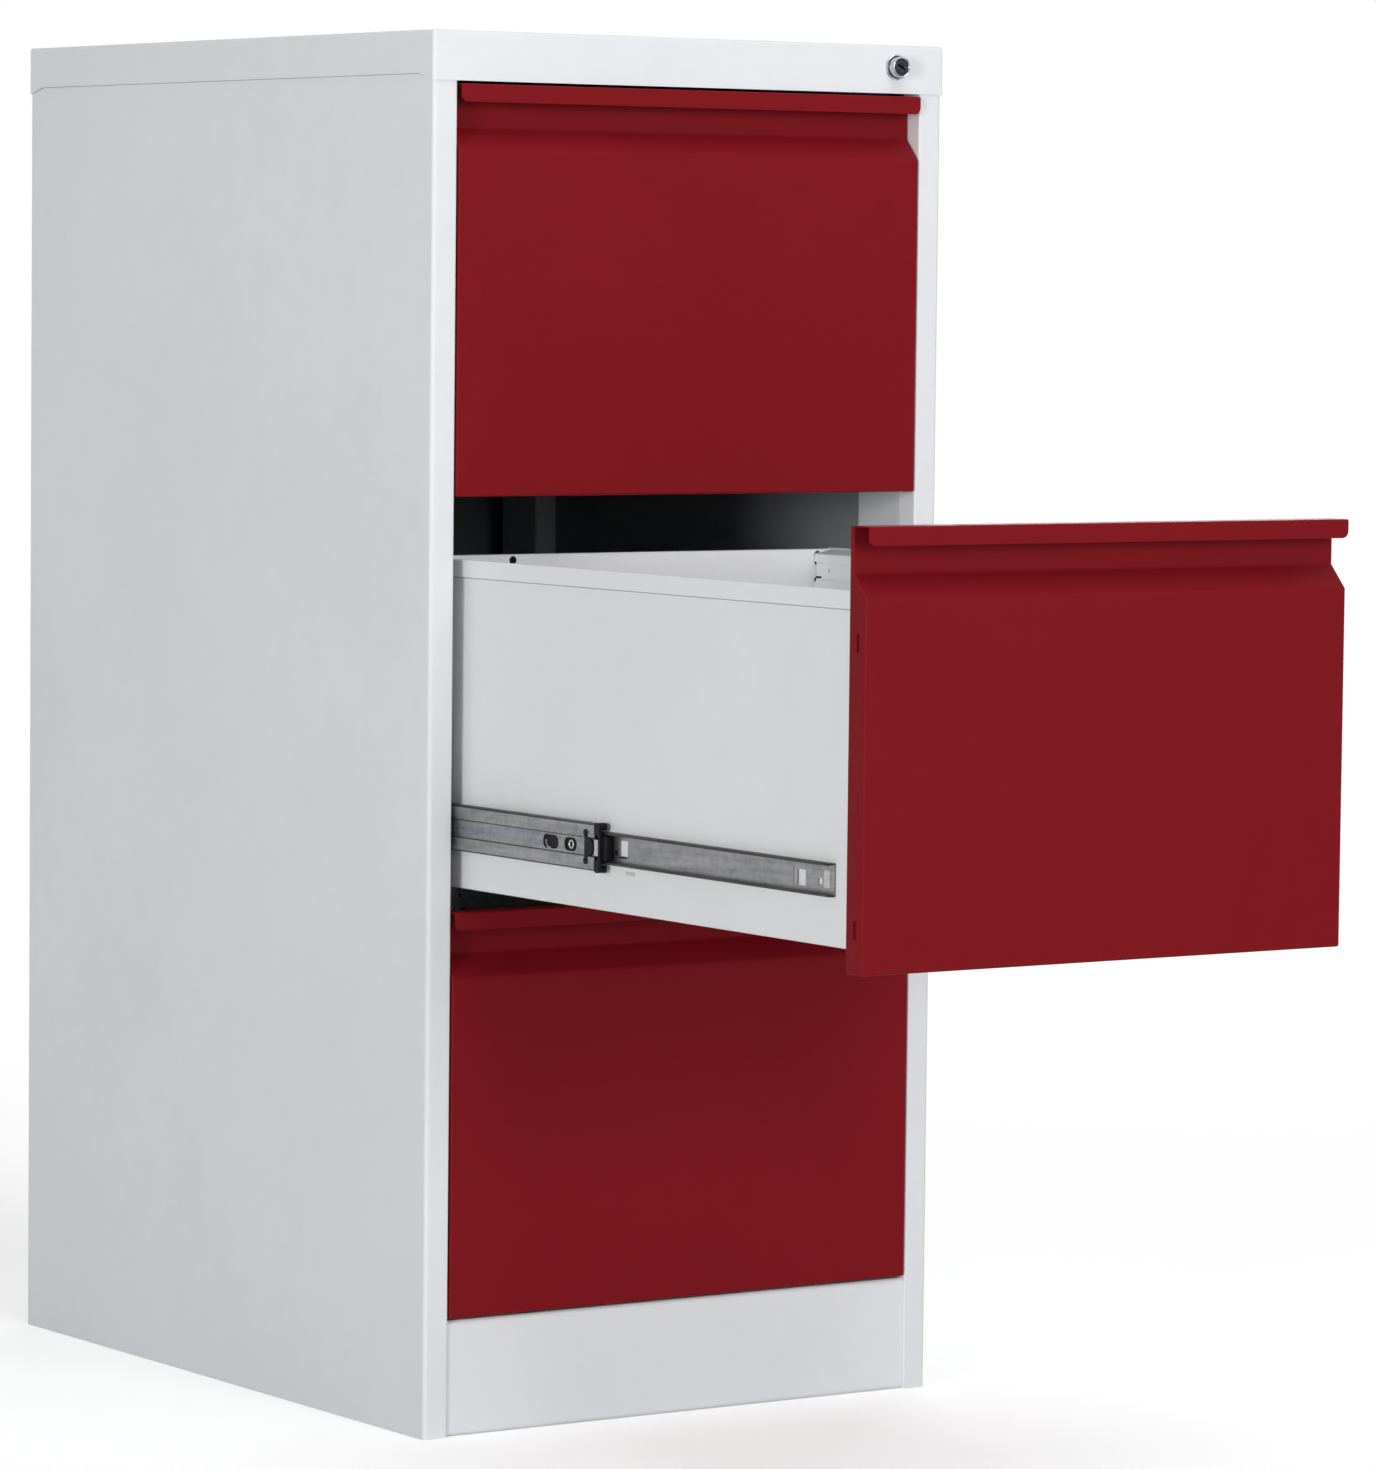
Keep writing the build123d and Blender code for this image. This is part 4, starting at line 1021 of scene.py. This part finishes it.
def turned(bm, profile, sides=48):
    """A ring or disc turned about the lock's axis from its (radius, depth) profile."""
    verts = [bm.verts.new((LOCK.x + r, LOCK.y + y, LOCK.z)) for r, y in profile]
    edges = [bm.edges.new(pair) for pair in zip(verts, verts[1:])]
    spun(bm, verts, edges, LOCK, (0, 1, 0), sides)
    bmesh.ops.remove_doubles(bm, verts=bm.verts, dist=0.0001)
    bmesh.ops.recalc_face_normals(bm, faces=bm.faces)


def lock_bezel():
    """Fixed barrel with its rounded bezel."""
    bore, barrel, rim, rear = 8.2, 8.9, 9.7, 24.0
    bezel = [(8.6, -1.6), (9.1, -1.55), (9.55, -1.1), (rim, -0.5), (rim, 0.0)]
    bm = bmesh.new()
    turned(bm, [(bore, rear), (bore, -1.0)] + bezel + [(barrel, 0.0), (barrel, rear), (bore, rear)])
    finished("lock_bezel", bm, "cabinet", [chrome], ["lock_housing"], smooth=30)


def lock_button():
    """The push plunger: a polished sleeve round the key core, its stem, and the wedge behind it."""
    bore, sleeve, stem = 6.5, 7.9, 4.0
    bore_end, sleeve_end, stem_end = 6.0, 16.0, 37.5
    rim = [(6.8, -7.8), (7.2, -8.0), (7.55, -7.85), (7.85, -7.4), (sleeve, -6.8)]
    wedge_half, wedge_line = 6.0, [(37.0, 8.0), (54.0, 8.0), (38.0, -8.0), (37.0, -8.0)]
    bm = bmesh.new()
    front = [(0.0, bore_end), (bore, bore_end), (bore, -7.4)] + rim
    turned(bm, front + [(sleeve, sleeve_end), (stem, sleeve_end), (stem, stem_end), (0.0, stem_end)])
    side = LOCK - Vector((wedge_half, 0, 0))
    wedge = bm.faces.new([bm.verts.new(side + Vector((0, y, z))) for y, z in wedge_line])
    thicken(bm, wedge, (2 * wedge_half, 0, 0))
    bmesh.ops.recalc_face_normals(bm, faces=bm.faces)
    body, slot = "lock_plunger", "lock_chrome"
    finished("lock_button", bm, body, [chrome], ["lock_plunger"], edge=0.15, smooth=30)


# Making the pieces

side_skin(-1)
side_skin(1)
cap_skin()
cap_shadow_lines()
kick_panel()
for name, top, pull in DRAWERS:
    front_panel(name, top, pull)
    front_slot_tabs(name, top, pull)
    tray_skin(name, top, pull)
    hem_shadow_lines(name, top, pull)
    back_wall(name, top, pull)
    hanging_rails(name, top, pull)
    rail_gap_shade(name, top, pull)
    middle_slide(name, top, pull)
    slide_rivets(name, top, pull)
    slide_stop(name, top, pull)
    drawer_slide(name, top, pull)
    slide_pads(name, top, pull)
    ball_cages(name, top, pull)
lock_bezel()
lock_button()

# The CAD nodes that no piece replaces; a name that ends with an underscore stands for all that begin so.
KEPT = {
    # Painted shade: the back panel's inner face, the base pan and the lock rail take the darker greys of
    # painted shade.
    "back_panel": back_paint,
    "base_pan": shell_painted_shade,
    "lock_rail": shell_painted_shade,
    "lock_nut": zinc,
    "lock_bar": zinc,
    "lock_bar_arm": zinc,
    "lock_bar_tongues": zinc,
    "lock_bar_guides": zinc,
    "key_core": core_nickel,
    "upright_": frame_paint,
    "drawer_liner_": tray_paint,
    "lock_catch_": zinc,
    "slide_cabinet_members_": zinc,
}
for node_name, node in nodes.items():
    for start, finish in KEPT.items():
        if node_name == start or (start.endswith("_") and node_name.startswith(start)):
            node.data.materials.clear()
            node.data.materials.append(finish)


# Camera, floor and light

SENSOR = 36.0
PHOTO_HEIGHT_PX = 1469.0
FOCAL_LENGTH_PX = 6461.0
VIEWPOINT = (-2.6606, -4.2382, 0.8416)
YAW, PITCH, ROLL = radians(34.06), radians(4.05), radians(0.61)
AMBIENT = 0.19
FLOOR_RADIUS = 60.0
FLOOR_NEAR, FLOOR_FAR = 1.2, 4.0
WHITE = (1, 1, 1, 1)
FLOOR_WHITE = (0.74, 0.74, 0.74, 1)


def camera():
    """Long lens, from the front left, a little above the drawers."""
    forward = Vector((sin(YAW) * cos(PITCH), cos(YAW) * cos(PITCH), -sin(PITCH)))
    right = Vector((cos(YAW), -sin(YAW), 0))
    up = right.cross(forward)
    right, up = right * cos(ROLL) + up * sin(ROLL), up * cos(ROLL) - right * sin(ROLL)
    data = bpy.data.cameras.new("view")
    data.sensor_fit = "VERTICAL"
    data.sensor_height = SENSOR
    data.lens = FOCAL_LENGTH_PX / PHOTO_HEIGHT_PX * SENSOR
    data.clip_end = 200.0
    made = bpy.data.objects.new("view", data)
    turn = Matrix((right, up, -forward)).transposed().to_4x4()
    made.matrix_world = Matrix.Translation(VIEWPOINT) @ turn
    bpy.context.scene.collection.objects.link(made)
    bpy.context.scene.camera = made


def lamp(name, place, target, size, power):
    """A soft square light that looks at a point."""
    data = bpy.data.lights.new(name, "AREA")
    data.shape = "SQUARE"
    data.size = size
    data.energy = power
    made = bpy.data.objects.new(name, data)
    look = (Vector(target) - Vector(place)).to_track_quat("-Z", "Y")
    made.matrix_world = Matrix.Translation(place) @ look.to_matrix().to_4x4()
    bpy.context.scene.collection.objects.link(made)


def seen_directly(finish):
    """1 where the camera, a mirror or a glass looks, 0 for light that falls on the object."""
    path = finish.node("ShaderNodeLightPath", output="Is Camera Ray")
    seen = path
    for ray in ("Is Glossy Ray", "Is Transmission Ray"):
        seen = finish.math("MAXIMUM", seen, path.output(ray))
    return seen


def white_sky():
    """The white surround: full where it is seen, faint where it lights the object."""
    world = bpy.data.worlds.new("studio")
    bpy.context.scene.world = world
    f = Finish("studio", world)
    strength = seen_directly(f) * (1.0 - AMBIENT) + AMBIENT
    sky = f.node("ShaderNodeBackground", inputs={"Color": WHITE, "Strength": strength})
    f.send(sky, "ShaderNodeOutputWorld")


def floor_finish():
    """White paper that takes soft shadows near the object and turns into plain white further out."""
    f = Finish("floor_white")
    away = f.node("ShaderNodeVectorMath", {"operation": "LENGTH"}, {0: f.place()}, output="Value")
    seen = seen_directly(f)
    matt = f.node("ShaderNodeBsdfDiffuse", inputs={"Color": FLOOR_WHITE})
    glow = f.node("ShaderNodeEmission", inputs={"Color": WHITE, "Strength": seen * 0.5})
    near = f.node("ShaderNodeAddShader", inputs={0: matt, 1: glow})
    plain = f.node("ShaderNodeEmission", inputs={"Color": WHITE, "Strength": seen * 0.4 + 0.6})
    far = f.between(away, FLOOR_NEAR, FLOOR_FAR)
    f.send(f.node("ShaderNodeMixShader", inputs={0: far, 1: near, 2: plain}))
    return f.material


def paper_floor():
    """A wide disc of white paper on which the cabinet stands."""
    bm = bmesh.new()
    bmesh.ops.create_circle(bm, cap_ends=True, segments=64, radius=FLOOR_RADIUS)
    mesh = bpy.data.meshes.new("floor")
    bm.to_mesh(mesh)
    bm.free()
    mesh.materials.append(floor_finish())
    floor = bpy.data.objects.new("floor", mesh)
    bpy.context.scene.collection.objects.link(floor)


camera()
white_sky()
paper_floor()
lamp("side_softbox", (-5.0, -2.6, 1.05), target=(0, -0.3, 0.5), size=1.2, power=120)
lamp("front_softbox", (0.6, -12.0, 2.9), target=(0, -0.4, 0.4), size=4.6, power=525)
lamp("top_softbox", (0.0, -1.8, 3.8), target=(0, -0.4, 0.5), size=2.2, power=45)
lamp("rear_softbox", (3.2, 3.4, 2.2), target=(0, 0, 0.5), size=2.6, power=85)
scene = bpy.context.scene
scene.view_settings.view_transform = "Standard"
